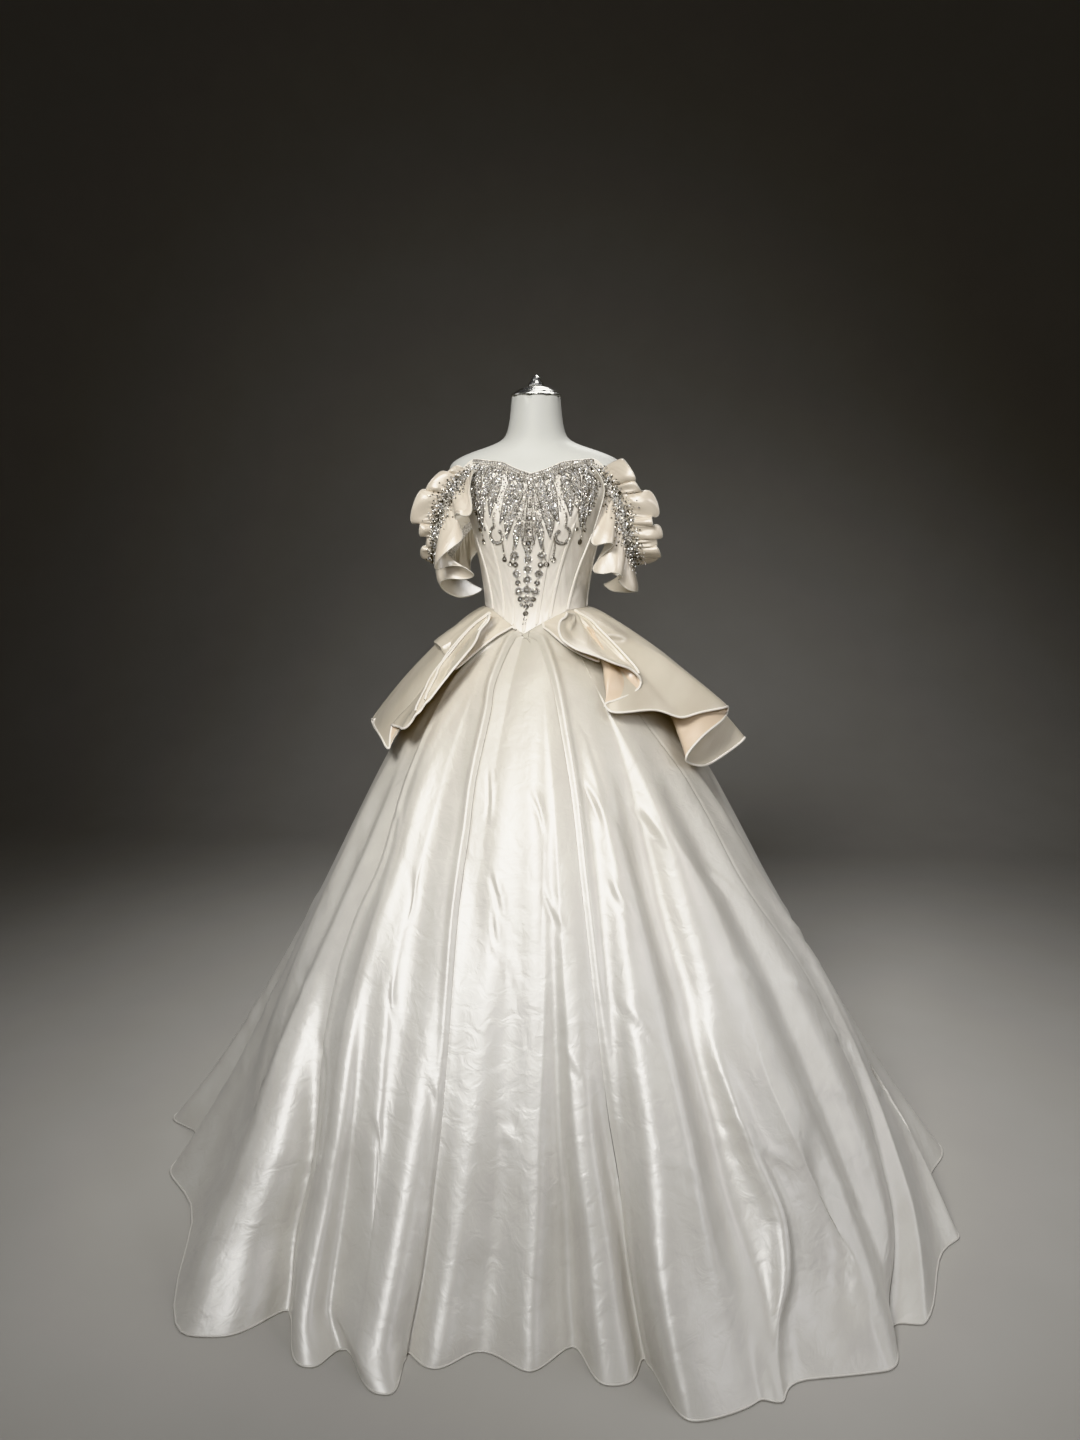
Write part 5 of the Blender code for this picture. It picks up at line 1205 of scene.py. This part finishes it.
addFlounce("left", 1.0)
addFlounce("right", -1.0)
print("peplum done")

# Sleeves

sleeve = {
    # the band's route from the bodice's front corner round the arm: across, forward, height in mm
    "band": [
        (146, 91, 1372), (171, 101, 1335), (186, 100, 1290), (196, 88, 1247), (202, 52, 1216),
        (204, 2, 1203), (199, -48, 1212), (184, -84, 1243), (153, -98, 1287),
    ],
    "bandFront": (1.6, 0.94), "bandBack": (4.9, 0.93), "bandSeat": 0.0005, "bandTurn": 0.12,
    "bandWidth": 0.014, "bandColumns": 200, "bandRows": 7, "bandWall": 0.0014, "bandDome": 0.0006,
    "armAxis": 0.150, "wall": 0.0013, "edge": 0.0013, "columns": 400, "rows": 24,
    "puff": 0.0055, "overhang": 1.35, "phase": {"left": 0.4, "right": 1.3}, "rootGap": 0.0003,
    "upperSpan": (0.036, 0.964), "lowerSpan": (0.058, 0.942), "lowerBlur": 0.0052,
    # puffs of each upper ruffle: from and to along the band in thousandths, reach and swell in mm
    "puffsLeft": [
        (35, 132, 58, 14), (132, 168, 50, 7), (168, 262, 70, 19), (262, 292, 54, 6),
        (292, 352, 66, 13), (352, 384, 52, 7), (384, 462, 54, 14), (462, 530, 42, 9),
        (530, 620, 50, 15), (620, 680, 42, 9), (680, 770, 48, 14), (770, 830, 42, 9),
        (830, 905, 42, 12), (905, 965, 28, 7),
    ],
    "puffsRight": [
        (35, 75, 24, 6), (75, 160, 42, 14), (160, 285, 55, 20), (285, 335, 30, 8),
        (335, 395, 13, 4), (395, 470, 25, 9), (470, 540, 34, 11), (540, 630, 46, 15),
        (630, 690, 42, 10), (690, 775, 48, 13), (775, 840, 42, 9), (840, 910, 40, 12),
        (910, 965, 28, 7),
    ],
    # free edge of each lower ruffle: thousandths of the band, across, forward and height in mm
    "lowerLeft": [
        (58, 121, 82, 1403), (75, 141, 110, 1377), (92, 147, 124, 1356), (110, 142, 132, 1329),
        (127, 133, 137, 1299), (143, 125, 139, 1272), (155, 123, 141, 1257), (165, 130, 147, 1249),
        (180, 147, 151, 1254), (195, 161, 150, 1256), (205, 167, 142, 1252), (220, 153, 130, 1239),
        (240, 135, 121, 1221), (255, 126, 118, 1206), (266, 128, 124, 1198), (285, 145, 132, 1195),
        (310, 164, 133, 1198), (332, 179, 127, 1194), (344, 184, 116, 1187), (356, 174, 105, 1183),
        (372, 180, 100, 1174), (395, 194, 96, 1163), (420, 207, 83, 1158), (455, 213, 60, 1157),
        (500, 205, 36, 1154), (540, 185, 16, 1152), (580, 165, -3, 1152), (620, 149, -24, 1157),
        (660, 140, -44, 1164), (700, 150, -58, 1166),
    ],
    "lowerRight": [
        (58, 118, 80, 1397), (72, 122, 106, 1363), (88, 116, 120, 1335), (102, 113, 129, 1317),
        (114, 119, 137, 1306), (128, 130, 140, 1307), (142, 142, 134, 1313), (153, 148, 125, 1306),
        (168, 143, 122, 1293), (182, 135, 127, 1277), (197, 132, 136, 1264), (212, 140, 146, 1253),
        (232, 155, 151, 1242), (252, 171, 153, 1228), (270, 182, 149, 1215), (284, 187, 141, 1206),
        (298, 182, 131, 1201), (318, 168, 121, 1207), (338, 153, 117, 1209), (358, 134, 119, 1207),
        (375, 119, 117, 1198), (388, 113, 108, 1190), (400, 124, 99, 1183), (420, 144, 99, 1181),
        (440, 165, 99, 1182), (456, 181, 94, 1178), (470, 188, 83, 1169), (490, 184, 68, 1158),
        (520, 171, 52, 1147), (555, 155, 32, 1140), (590, 140, 8, 1141), (625, 127, -18, 1146),
        (660, 121, -40, 1152), (700, 138, -56, 1156),
    ],
    "lowerBack": [
        (740, 170, -64, 1160), (780, 178, -86, 1172), (820, 156, -98, 1186), (862, 158, -116, 1206),
        (905, 140, -118, 1236), (942, 126, -100, 1278),
    ],
}


def bandFrame(alongs):
    # Centre points, outward normals and upward directions of the wearer's left band
    seat = outside + sleeve["bandSeat"]
    start, startNormal = onBodice(*sleeve["bandFront"], seat)
    end, endNormal = onBodice(*sleeve["bandBack"], seat)
    middle = thousandths(sleeve["band"], 0, 1, 2) * np.array([1.0, -1.0, 1.0])
    knots = np.concatenate([[start], middle, [end]])
    lengths = lengthsAlong(knots)
    fine = np.linspace(0.0, 1.0, 401)
    route = np.stack([smoothCurve(lengths / lengths[-1], axis)(fine) for axis in knots.T], -1)
    route = blurred(route, 9)
    tangents = unit(np.gradient(route, axis=0))
    outward = unit((route - np.array([sleeve["armAxis"], 0.0, 0.0])) * np.array([1.0, 1.0, 0.0]))
    nearStart = (1.0 - ease(fine / sleeve["bandTurn"]))[:, None]
    nearEnd = (1.0 - ease((1.0 - fine) / sleeve["bandTurn"]))[:, None]
    outward = outward * (1.0 - nearStart - nearEnd) + startNormal * nearStart + endNormal * nearEnd
    outward = unit(outward - np.sum(outward * tangents, -1, keepdims=True) * tangents)
    centre, outward, upward = (
        np.stack([np.interp(alongs, fine, axis) for axis in values.T], -1)
        for values in (route, outward, np.cross(outward, tangents)))
    return centre, unit(outward), unit(upward)


def upperRuffle(puffs, phase):
    # Stands outwards from the band's upper edge in uneven puffs with sharp valleys between them
    alongs = np.linspace(*sleeve["upperSpan"], sleeve["columns"])
    centre, outward, upward = bandFrame(alongs)
    root = centre + upward * (sleeve["bandWidth"] / 2 + sleeve["rootGap"])
    lift = smoothCurve([0.0, 0.3, 0.5, 1.0], [-0.10, -0.10, 0.22, 0.22])(alongs)
    aim = upward * 0.5 + outward * 0.35
    aim = unit(aim + np.stack([0.8 + 0 * lift, 0 * lift, lift], -1))
    tangent = np.cross(upward, outward)
    across = unit(np.cross(tangent, aim))
    puffs = thousandths(puffs, 0, 1)
    number = np.clip(np.searchsorted(puffs[:, 0], alongs, side="right") - 1, 0, len(puffs) - 1)
    start, end, far, rise = puffs[number].T
    share = np.clip((alongs - start) / (end - start), 0.0, 1.0)
    dome = np.sin(math.pi * share)
    reach = smoothCurve((puffs[:, 0] + puffs[:, 1]) / 2, puffs[:, 2])(alongs)
    reach = blurred((0.35 * reach + 0.65 * far) * (0.80 + 0.20 * dome**0.5), 3.0) / 1000
    swell = blurred((dome**0.62 - 0.42) * rise, 1.2) / 1000
    sway = (end - start) * 0.42 * np.sin(2 * math.pi * share) / (2 * math.pi)
    bend = blurred(0.30 * np.sin(2.4 * number + phase), 5.0)
    fineFolds = np.sin(2 * math.pi * 61 * alongs + 2.5 * np.sin(23 * alongs + phase))
    broken = np.sin(2 * math.pi * 1.5 * share + 5 * number + phase)
    rows = []
    for depth in np.linspace(0.0, 1.0, sleeve["rows"]) ** 1.1:
        stand = swell * depth**0.65 * (1 - 0.25 * depth**5)
        stand = stand + 0.0024 * broken * math.sin(math.pi * depth)
        stand = stand + sleeve["puff"] * (math.sin(0.86 * math.pi * depth) ** 0.8 - 0.45 * depth**6)
        pinch = 0.0013 * fineFolds * ease(depth / 0.08) * (1 - ease(depth / 0.55))
        stand = stand + bend * reach * depth**2 + pinch
        shift = -sleeve["overhang"] * sway * depth
        out = reach * (depth - 0.05 * depth**8)
        rows.append(root + aim * out[:, None] + across * stand[:, None] + tangent * shift[:, None])
    grid = np.stack(rows[::-1], axis=1)
    normals = gridNormals(grid)
    normals[:, -1] = outward
    return grid + normals * sleeve["wall"], grid


def lowerRuffle(table):
    # Falls from the band's lower edge in a cascade of rolled folds
    alongs = np.linspace(*sleeve["lowerSpan"], sleeve["columns"])
    table = thousandths(table, 0, 1, 2, 3)
    edge = np.stack([smoothCurve(table[:, 0], column)(alongs) for column in table.T[1:]], -1)
    edge[:, 1] *= -1
    edge = blurred(edge, sleeve["columns"] * sleeve["lowerBlur"])
    centre, outward, upward = bandFrame(alongs)
    root = centre - upward * (sleeve["bandWidth"] / 2 + sleeve["rootGap"])
    gathers = np.sin(2 * math.pi * 47 * alongs + 2 * np.sin(19 * alongs))
    layers = []
    for depth in np.linspace(0.0, 1.0, sleeve["rows"]):
        puff = 0.8 * sleeve["puff"] * math.sin(math.pi * depth)
        pinch = 0.0012 * gathers * ease(depth / 0.06) * (1 - ease(depth / 0.5))
        drop = depth + 0.10 * math.sin(math.pi * depth)
        layers.append(root + (edge - root) * drop + outward * (puff + pinch)[:, None])
    grid = np.stack(layers, axis=1)
    normals = gridNormals(grid)
    normals[:, 0] = outward
    return grid + normals * sleeve["wall"], grid


def addSleeve(side, sign):
    # Returns the sleeve's grids, each with its sewn edge first, for the beads
    capital = side.capitalize()
    mirror = np.array([sign, 1.0, 1.0])
    centre, outward, upward = bandFrame(np.linspace(0.0, 1.0, sleeve["bandColumns"]))
    across = np.linspace(1.0, -1.0, sleeve["bandRows"])
    inner = centre[:, None] + upward[:, None] * (across * sleeve["bandWidth"] / 2)[None, :, None]
    dome = sleeve["bandWall"] + sleeve["bandDome"] * (1 - across**2)
    outer = inner + outward[:, None] * dome[None, :, None]
    outer, inner = outer * mirror, inner * mirror
    band = clothWall(f"sleeveBand{capital}Strip", outer, inner, [threadNet])
    declareCloth(band, outer, "silver_beads", f"sleeve_band_{side}")
    grids = {"band": outer}
    for part, made in (("Upper", upperRuffle(sleeve[f"puffs{capital}"], sleeve["phase"][side])),
                       ("Lower", lowerRuffle(sleeve[f"lower{capital}"] + sleeve["lowerBack"]))):
        outer, inner = made[0] * mirror, made[1] * mirror
        free = 0 if part == "Upper" else -1
        # The ruffles' inner faces take the darker, warmer champagne satin: painted shade on their
        # undersides
        piece = clothWall(f"sleeve{part}Ruffle{capital}", outer, inner,
                          [sleeveSatin, champagneSatin])
        path = (outer[:, free] + inner[:, free]) / 2
        cord = cordPiece(f"sleeve{part}Roll{capital}", [(path, sleeve["edge"])], ivorySatin)
        declareCloth(piece, outer, "ivory_satin", f"sleeve_{part.lower()}_ruffle_{side}",
                     [cord])
        grids[part] = outer[:, ::-1] if part == "Upper" else outer
    return grids


sleeveGrids = {"left": addSleeve("left", 1.0), "right": addSleeve("right", -1.0)}
print("sleeves done")

# Beadwork: a generic design of leaves, scrolls and chains of medallions. It is laid out on the
# bodice by millimetres aside from the centre front and by height in metres

beadwork = {
    "seed": 7, "gap": 1.06, "toneSpread": 0.34, "sunk": 0.38, "foot": 0.0004,
    "netFoot": 0.0003, "netRise": 0.0007, "netEdge": 0.6,
    "smallStone": 0.0034, "stone": 0.0052, "leafStone": 0.0044,
    # rings round a stone: reach, bead size and tone
    "rings": [(0.0030, 0.0026, 0.1), (0.0046, 0.0028, 0.05), (0.0074, 0.0032, 0.95)],
    # rows along the neckline: drop, bead size and tone; then its net's drop and half width
    "edgingRows": [(0.0013, 0.0026, 0.2), (0.0046, 0.0038, 0.9), (0.0083, 0.0026, 0.1),
                   (0.0112, 0.0030, 0.75), (0.0142, 0.0024, 0.2)],
    "edgingNet": (0.0082, 7.8), "edgingStep": 15.0, "edgingStone": 0.0040,
    # the centre leaf's outline: height and half width; then the tips of its slanting rows
    "centreLeaf": [(1.226, 2.0), (1.245, 9.0), (1.265, 15.0), (1.285, 21.0), (1.305, 26.0),
                   (1.325, 27.0), (1.345, 25.0), (1.362, 16.0)],
    "centreTips": [(25, 1.312), (20, 1.282), (12, 1.254)],
    # what each paired motif is made of, in the order of its making
    "motifs": {
        "InnerLeaf": [
            ("leaf", (14, 1.372), (41, 1.262), 24.0, 5.0),
            ("leaf", (30, 1.374), (54, 1.292), 19.0, -4.0),
            ("leaf", (17, 1.300), (24, 1.243), 12.0, 2.0),
            ("row", [(46, 1.268), (49, 1.248), (47, 1.228)], 0.0028, 0.3, 2.6),
            ("medallion", 47, 1.222, 0.0044),
            ("row", [(26, 1.258), (29, 1.238), (35, 1.218)], 0.0028, 0.3, 2.6),
            ("medallion", 35, 1.212, 0.0044),
            ("fill", (36, 1.296, 0.0009, 0.0), 240, (14, 60, 1.290, 1.388)),
        ],
        "OuterLeaf": [
            ("leaf", (48, 1.386), (74, 1.304), 20.0, 5.0),
            ("leaf", (66, 1.398), (88, 1.336), 17.0, -3.0),
            ("scroll", 60, 1.268, 0.0190, 70, -0.85, 8.0),
            ("row", [(64, 1.312), (67, 1.298), (66, 1.286)], 0.0028, 0.3, 3.6),
            ("fill", (72, 1.322, 0.0008, 0.012), 200, (56, 94, 1.310, 1.412)),
        ],
        "Spray": [
            ("leaf", (86, 1.400), (97, 1.330), 18.0, 3.0),
            ("leaf", (99, 1.384), (116, 1.318), 18.0, 4.0),
            ("leaf", (90, 1.340), (100, 1.282), 15.0, 2.0),
            ("leaf", (108, 1.345), (110, 1.286), 12.0, -2.0),
            ("row", [(101, 1.300), (104, 1.284), (102, 1.262)], 0.0028, 0.4, 2.6),
            ("medallion", 101, 1.256, 0.0042), ("medallion", 112, 1.280, 0.0040),
            ("medallion", 90, 1.282, 0.0038), ("medallion", 117, 1.312, 0.0040),
            ("fill", (102, 1.285, 0.0018, 0.004), 320, (82, 124, 1.272, 1.408)),
        ],
        "Chain": [
            ("chain", [(26, 1.230, 0.0080), (24.0, 1.211, 0.0056), (21.5, 1.193, 0.0080),
                       (18.5, 1.174, 0.0056), (16.0, 1.157, 0.0070), (12.5, 1.141, 0.0050),
                       (9.5, 1.129, 0.0040)]),
        ],
    },
    "nodes": {"InnerLeaf": "beads_leaf_inner", "OuterLeaf": "beads_leaf_outer",
              "Spray": "beads_spray", "Chain": "beads_chain"},
    "centreChain": [(0, 1.222, 0.0066), (0, 1.202, 0.0084), (0, 1.181, 0.0066), (0, 1.160, 0.0080),
                    (0, 1.141, 0.0066), (0, 1.125, 0.0056), (0, 1.111, 0.0046), (0, 1.099, 0.0036),
                    (0, 1.090, 0.0028)],
    "chainNet": 2.6, "looseSizes": (0.0025, 0.0045), "looseTone": 0.6,
    # on the sleeves: part, beads, how far they spread from the sewn edge, side that they lie on
    "sleeveParts": [("band", 700, 0.5, 1), ("Upper", 620, 0.18, -1), ("Lower", 420, 0.12, 1)],
    "sleeveSizes": (0.0022, 0.0044),
}
dice = np.random.default_rng(beadwork["seed"])
layoutMillimetre = np.array([1.0, 0.001])  # one millimetre aside and up, in the layout's units
layoutMetres = np.array([0.001, 1.0])


def cutBead():
    # Corners and faces of a bead with twenty facets
    golden = (1 + 5**0.5) / 2
    signs = [(a, b) for a in (-1, 1) for b in (-1, 1)]
    corners = unit(np.array([(a, b * golden, 0) for a, b in signs]
                            + [(0, a, b * golden) for a, b in signs]
                            + [(b * golden, 0, a) for a, b in signs]))
    near = np.linalg.norm(corners[:, None] - corners[None], axis=2) < 1.2
    facets = []
    for i in range(12):
        for j in range(i + 1, 12):
            for k in range(j + 1, 12):
                if near[i, j] and near[j, k] and near[i, k]:
                    out = np.cross(corners[j] - corners[i], corners[k] - corners[i])
                    facets.append((i, j, k) if np.dot(out, corners[i]) > 0 else (i, k, j))
    return corners, np.array(facets)


beadCorners, beadFacets = cutBead()


def beadPiece(name, points, sizes, tones):
    # One piece of many cut beads, each turned its own way
    spin = unit(dice.normal(size=(len(points), 4)))
    share, axis = spin[:, None, :1], spin[:, None, 1:]
    turned = np.cross(axis, np.cross(axis, beadCorners) + share * beadCorners)
    shape = (beadCorners + 2 * turned) * (sizes / 2)[:, None, None]
    corners = len(beadCorners)
    faces = beadFacets + corners * np.arange(len(points))[:, None, None]
    mesh = bpy.data.meshes.new(name)
    mesh.from_pydata((points[:, None] + shape).reshape(-1, 3).tolist(), [],
                     faces.reshape(-1, 3).tolist())
    mesh.materials.append(silverBeads)
    tone = mesh.attributes.new("tone", "FLOAT", "POINT").data
    tone.foreach_set("value", np.repeat(tones, corners).astype(np.float32))
    mesh.update()
    return addObject(name, mesh)


def frontRadius(heights):
    return (halfWidth(heights) + halfDepth(heights)) / 2 + form["bustDepth"] * 0.5 + 0.004


def onFront(aside, height, lift):
    angles = np.degrees(aside / 1000 / frontRadius(height))
    angles = angles + leanOf(angles) * np.clip((1.36 - height) / 0.28, 0.0, 1.0) ** 1.5
    lifted = formNormals(angles, height) * (outside + lift)[..., None]
    return formPoints(angles, height) + lifted


def edgeHeightAt(aside):
    # The neckline's height at a place aside from the centre front
    height = 1.40
    for _ in range(4):
        angle = abs(math.degrees(aside / 1000 / float(frontRadius(np.array(height)))))
        height = float(topEdgeHeight(angle))
    return height


class BeadLayout:
    # Gathers the beads of one piece (place, size and tone) and the strips of net under them
    def __init__(self):
        self.aside, self.height, self.size, self.tone, self.strips = [], [], [], [], []

    def add(self, aside, height, size, tone):
        self.aside.append(aside)
        self.height.append(height)
        self.size.append(size)
        self.tone.append(float(np.clip(tone + dice.normal(0, beadwork["toneSpread"]), 0, 1)))

    def row(self, knots, size, tone, net=0.0):
        # Beads side by side along a smooth line through the knots
        knots = np.array(knots, float)
        lengths = lengthsAlong(knots * layoutMetres)
        count = max(int(lengths[-1] / (size * beadwork["gap"])), 1)
        spots = np.linspace(0, lengths[-1], count + 1)
        places = np.stack([smoothCurve(lengths, axis)(spots) for axis in knots.T], 1)
        for place in places:
            self.add(*place, size, tone)
        if net and count > 2:
            self.strips.append((places, np.full(count + 1, net)))

    def medallion(self, aside, height, radius):
        # A cut stone in rings of beads, on a round patch of net
        self.add(aside, height, beadwork["smallStone" if radius < 0.005 else "stone"], 1.0)
        for reach, size, tone in beadwork["rings"]:
            if 0.5 * radius < reach < radius * 1.15:
                count = int(2 * math.pi * reach / size)
                for turn in 2 * math.pi * np.arange(count) / count:
                    self.add(aside + 1000 * reach * math.cos(turn),
                             height + reach * math.sin(turn), size, tone)
        shares = np.linspace(-0.96, 0.96, 9)
        self.strips.append((np.stack([aside + 0 * shares, height + radius * shares], 1),
                            1000 * radius * np.sqrt(1 - shares**2)))

    def chain(self, spots):
        # Medallions in a row on a narrow strip of net
        middle = np.array([spot[:2] for spot in spots])
        self.strips.append((middle, np.full(len(spots), beadwork["chainNet"])))
        for spot in spots:
            self.medallion(*spot)

    def leaf(self, root, tip, width, bend):
        # A leaf in beads: a dark outline, a bright midrib and slanting ribs
        root = np.array(root, float)
        run = (np.array(tip, float) - root) / layoutMillimetre
        length = np.hypot(*run)
        side = np.array([-run[1], run[0]]) / length

        def halfAt(share):
            return width / 2 * np.sin(math.pi * np.minimum(share, 0.995) ** 0.75) ** 0.9

        def spot(share, across):
            out = bend * np.sin(math.pi * share) + across * halfAt(share)
            place = np.multiply.outer(share, run) + np.multiply.outer(out, side)
            return root + place * layoutMillimetre

        shares = np.linspace(0.0, 1.0, 13)
        self.strips.append((spot(shares, 0.0), halfAt(shares) + beadwork["netEdge"]))
        for across, size, tone in ((-1, 0.0024, 0.12), (1, 0.0024, 0.12), (0, 0.0030, 0.95)):
            self.row(spot(shares, across), size, tone)
        for number, share in enumerate(np.arange(0.07, 0.84, 4.6 / length)):
            for across in (-1, 1):
                outer = spot(share + 0.5 * width / length, across * 0.8)
                self.row([spot(share, across * 0.12), outer], 0.0026, 0.2 if number % 2 else 0.85)
            if number % 3 == 1:
                self.add(*spot(share, 0.45 * (-1) ** number), beadwork["leafStone"], 1.0)

    def scroll(self, aside, height, radius, startTurn, turns, width):
        # A thick spiral that tightens inwards and ends in a stone
        shares = np.linspace(0.0, 1.0, 16)
        angles = math.radians(startTurn) + 2 * math.pi * turns * shares
        for lane in (-1, 0, 1):
            reach = radius * (1 - 0.5 * shares)
            reach = reach + lane * width / 3000 * (0.5 + 0.5 * np.sin(math.pi * shares))
            knots = np.stack([aside + 1000 * reach * np.cos(angles),
                              height + reach * np.sin(angles)], 1)
            look = (0.0026, 0.15) if lane else (0.0030, 0.85, width / 2)
            self.row(knots, *look)
        self.medallion(*knots[-1], 0.0030)

    def scatter(self, inside, count, sizes, tone, box):
        # Loose beads in a shape, none on top of another
        done = 0
        for attempt in range(count * 6):
            aside, height = dice.uniform(box[0], box[1]), dice.uniform(box[2], box[3])
            size = dice.uniform(*sizes)
            if not inside(aside, height):
                continue
            apart = np.hypot((np.array(self.aside) - aside) / 1000, np.array(self.height) - height)
            if np.any(apart < (np.array(self.size) + size) * 0.46):
                continue
            self.add(aside, height, size, tone)
            done += 1
            if done >= count:
                break

    def fill(self, shape, count, box):
        # Loose beads over a slanting foot on both sides of a middle, and under the neckline
        middle, foot, slope, drop = shape

        def inside(aside, height):
            return foot + abs(aside - middle) * slope < height < edgeHeightAt(aside) - drop

        self.scatter(inside, count, beadwork["looseSizes"], beadwork["looseTone"], box)

    def make(self, name, node, mirror=1.0):
        asides, heights, sizes = (np.array(row) for row in (self.aside, self.height, self.size))
        points = onFront(asides * mirror, heights, sizes * beadwork["sunk"] + beadwork["foot"])
        attach(beadPiece(name, points, sizes, self.tone), "silver_beads", node)
        netPiece(name + "Net", self.strips, mirror)


def netPiece(name, strips, mirror):
    # Low padded patches of net under the beads, each along its own middle line
    points, faces, flat, count = [], [], [], 0
    across = np.linspace(-1.0, 1.0, 5)
    rise = beadwork["netFoot"] + beadwork["netRise"] * (1 - across**2)
    for middle, halves in strips:
        along = np.gradient(middle / layoutMillimetre, axis=0)
        side = unit(np.stack([-along[:, 1], along[:, 0]], 1)) * halves[:, None]
        spots = middle[:, None] + side[:, None] * across[None, :, None] * layoutMillimetre
        asides, heights = spots[..., 0] * mirror, spots[..., 1]
        for lift in (rise[None, :], -beadwork["netFoot"]):
            points.append(onFront(asides, heights, lift + 0 * asides).reshape(-1, 3))
            flat.append(spots.reshape(-1, 2) * layoutMetres)
        for part in wallFaces(*asides.shape):
            faces += (part + count).tolist()
        count += 2 * asides.size
    net = newPiece(name, np.concatenate(points), faces, [threadNet], np.concatenate(flat))
    attach(net, "silver_beads")


def neckEdging():
    layout = BeadLayout()
    asides = np.linspace(-97, 97, 65)
    edge = np.array([(aside, edgeHeightAt(aside)) for aside in asides])
    netDrop, netHalf = beadwork["edgingNet"]
    layout.strips.append((edge - np.array([0.0, netDrop]), np.full(len(asides), netHalf)))
    for drop, size, tone in beadwork["edgingRows"]:
        layout.row(edge - np.array([0.0, drop]), size, tone)
    for number in range(-6, 7):
        aside = number * beadwork["edgingStep"]
        top = edgeHeightAt(aside)
        tip = (aside + 5.0 * np.sign(number), top - 0.034 + 0.006 * (number % 2))
        layout.leaf((aside, top - 0.013), tip, 11.0, 0.0)
    for number in range(-6, 6):
        aside = (number + 0.5) * beadwork["edgingStep"]
        layout.medallion(aside, edgeHeightAt(aside) - 0.0190, beadwork["edgingStone"])
    return layout


def centreLeaf():
    layout = BeadLayout()
    heights, halves = np.array(beadwork["centreLeaf"]).T
    middle = np.stack([0 * heights, heights], 1)
    layout.strips.append((middle[::-1], halves[::-1]))
    for number in range(5):
        layout.medallion(0, 1.350 - number * 0.024, 0.0066 - 0.0004 * number)
    for side in (-1, 1):
        for tip, low in beadwork["centreTips"]:
            layout.row([(side * 3, 1.364), (side * tip * 0.62, low + 0.024), (side * tip, low)],
                       0.0026, 0.1)

    def inside(aside, height):
        return abs(aside) < np.interp(height, heights, halves)

    layout.scatter(inside, 760, (0.0026, 0.0046), 0.7, (-27, 27, 1.228, 1.364))
    return layout


def motif(steps):
    layout = BeadLayout()
    makers = {"leaf": layout.leaf, "row": layout.row, "medallion": layout.medallion,
              "scroll": layout.scroll, "chain": layout.chain, "fill": layout.fill}
    for kind, *settings in steps:
        makers[kind](*settings)
    return layout


def crowding(along):
    # Beads stand closest near the front of the sleeve's band
    front = 0.5 * math.exp(-(((along - 0.05) / 0.1) ** 2))
    return 0.35 + 0.65 * math.exp(-(((along - 0.42) / 0.22) ** 2)) + front


def beadsOnCloth(grid, count, reach):
    # Places, normals and sizes of beads near a cloth's sewn edge: grid [column][row from the edge]
    columns, rows = grid.shape[:2]
    normals = gridNormals(grid)
    sizes = beadwork["sleeveSizes"]
    picked, pickedNormals, pickedSizes = [], [], []
    for attempt in range(count * 4):
        along = dice.uniform(0.0, 1.0)
        down = abs(dice.normal(0.0, reach))
        if down > 0.95 or dice.uniform() > crowding(along):
            continue
        column, row = along * (columns - 1.001), down * (rows - 1.001)
        i, j = int(column), int(row)
        a, b = column - i, row - j
        weights = np.outer([1 - a, a], [1 - b, b])
        spot = np.einsum("ij,ijk->k", weights, grid[i:i + 2, j:j + 2])
        if picked and np.linalg.norm(np.array(picked) - spot, axis=1).min() < sizes[0] * 0.85:
            continue
        picked.append(spot)
        pickedNormals.append(normals[i, j])
        pickedSizes.append(dice.uniform(*sizes))
        if len(picked) >= count:
            break
    return np.array(picked), np.array(pickedNormals), np.array(pickedSizes)


def addSleeveBeads(side, sign):
    points, sizes, tones = [], [], []
    for part, count, reach, face in beadwork["sleeveParts"]:
        spots, normals, size = beadsOnCloth(sleeveGrids[side][part], count, reach)
        points.append(spots + normals * sign * face * (size * 0.35)[:, None])
        sizes.append(size)
        tones.append(np.clip(dice.normal(0.5, 0.4, len(size)), 0, 1))
    beads = beadPiece(f"sleeveBeads{side.capitalize()}", np.concatenate(points),
                      np.concatenate(sizes), np.concatenate(tones))
    attach(beads, "silver_beads")


neckEdging().make("beadsNecklineEdging", "beads_neckline")
centreLeaf().make("beadsCentreLeaf", "beads_leaf_centre")
motif([("chain", beadwork["centreChain"])]).make("beadsCentreChain", "beads_chain_centre")
for motifName, motifSteps in beadwork["motifs"].items():
    for sideName, mirrorSign in (("Left", 1.0), ("Right", -1.0)):
        motifNode = f"{beadwork['nodes'][motifName]}_{sideName.lower()}"
        motif(motifSteps).make(f"beads{motifName}{sideName}", motifNode, mirrorSign)
addSleeveBeads("left", 1.0)
addSleeveBeads("right", -1.0)
print("beadwork done")

bpy.context.scene.view_settings.view_transform = "Khronos PBR Neutral"
bpy.context.scene.view_settings.look = "None"
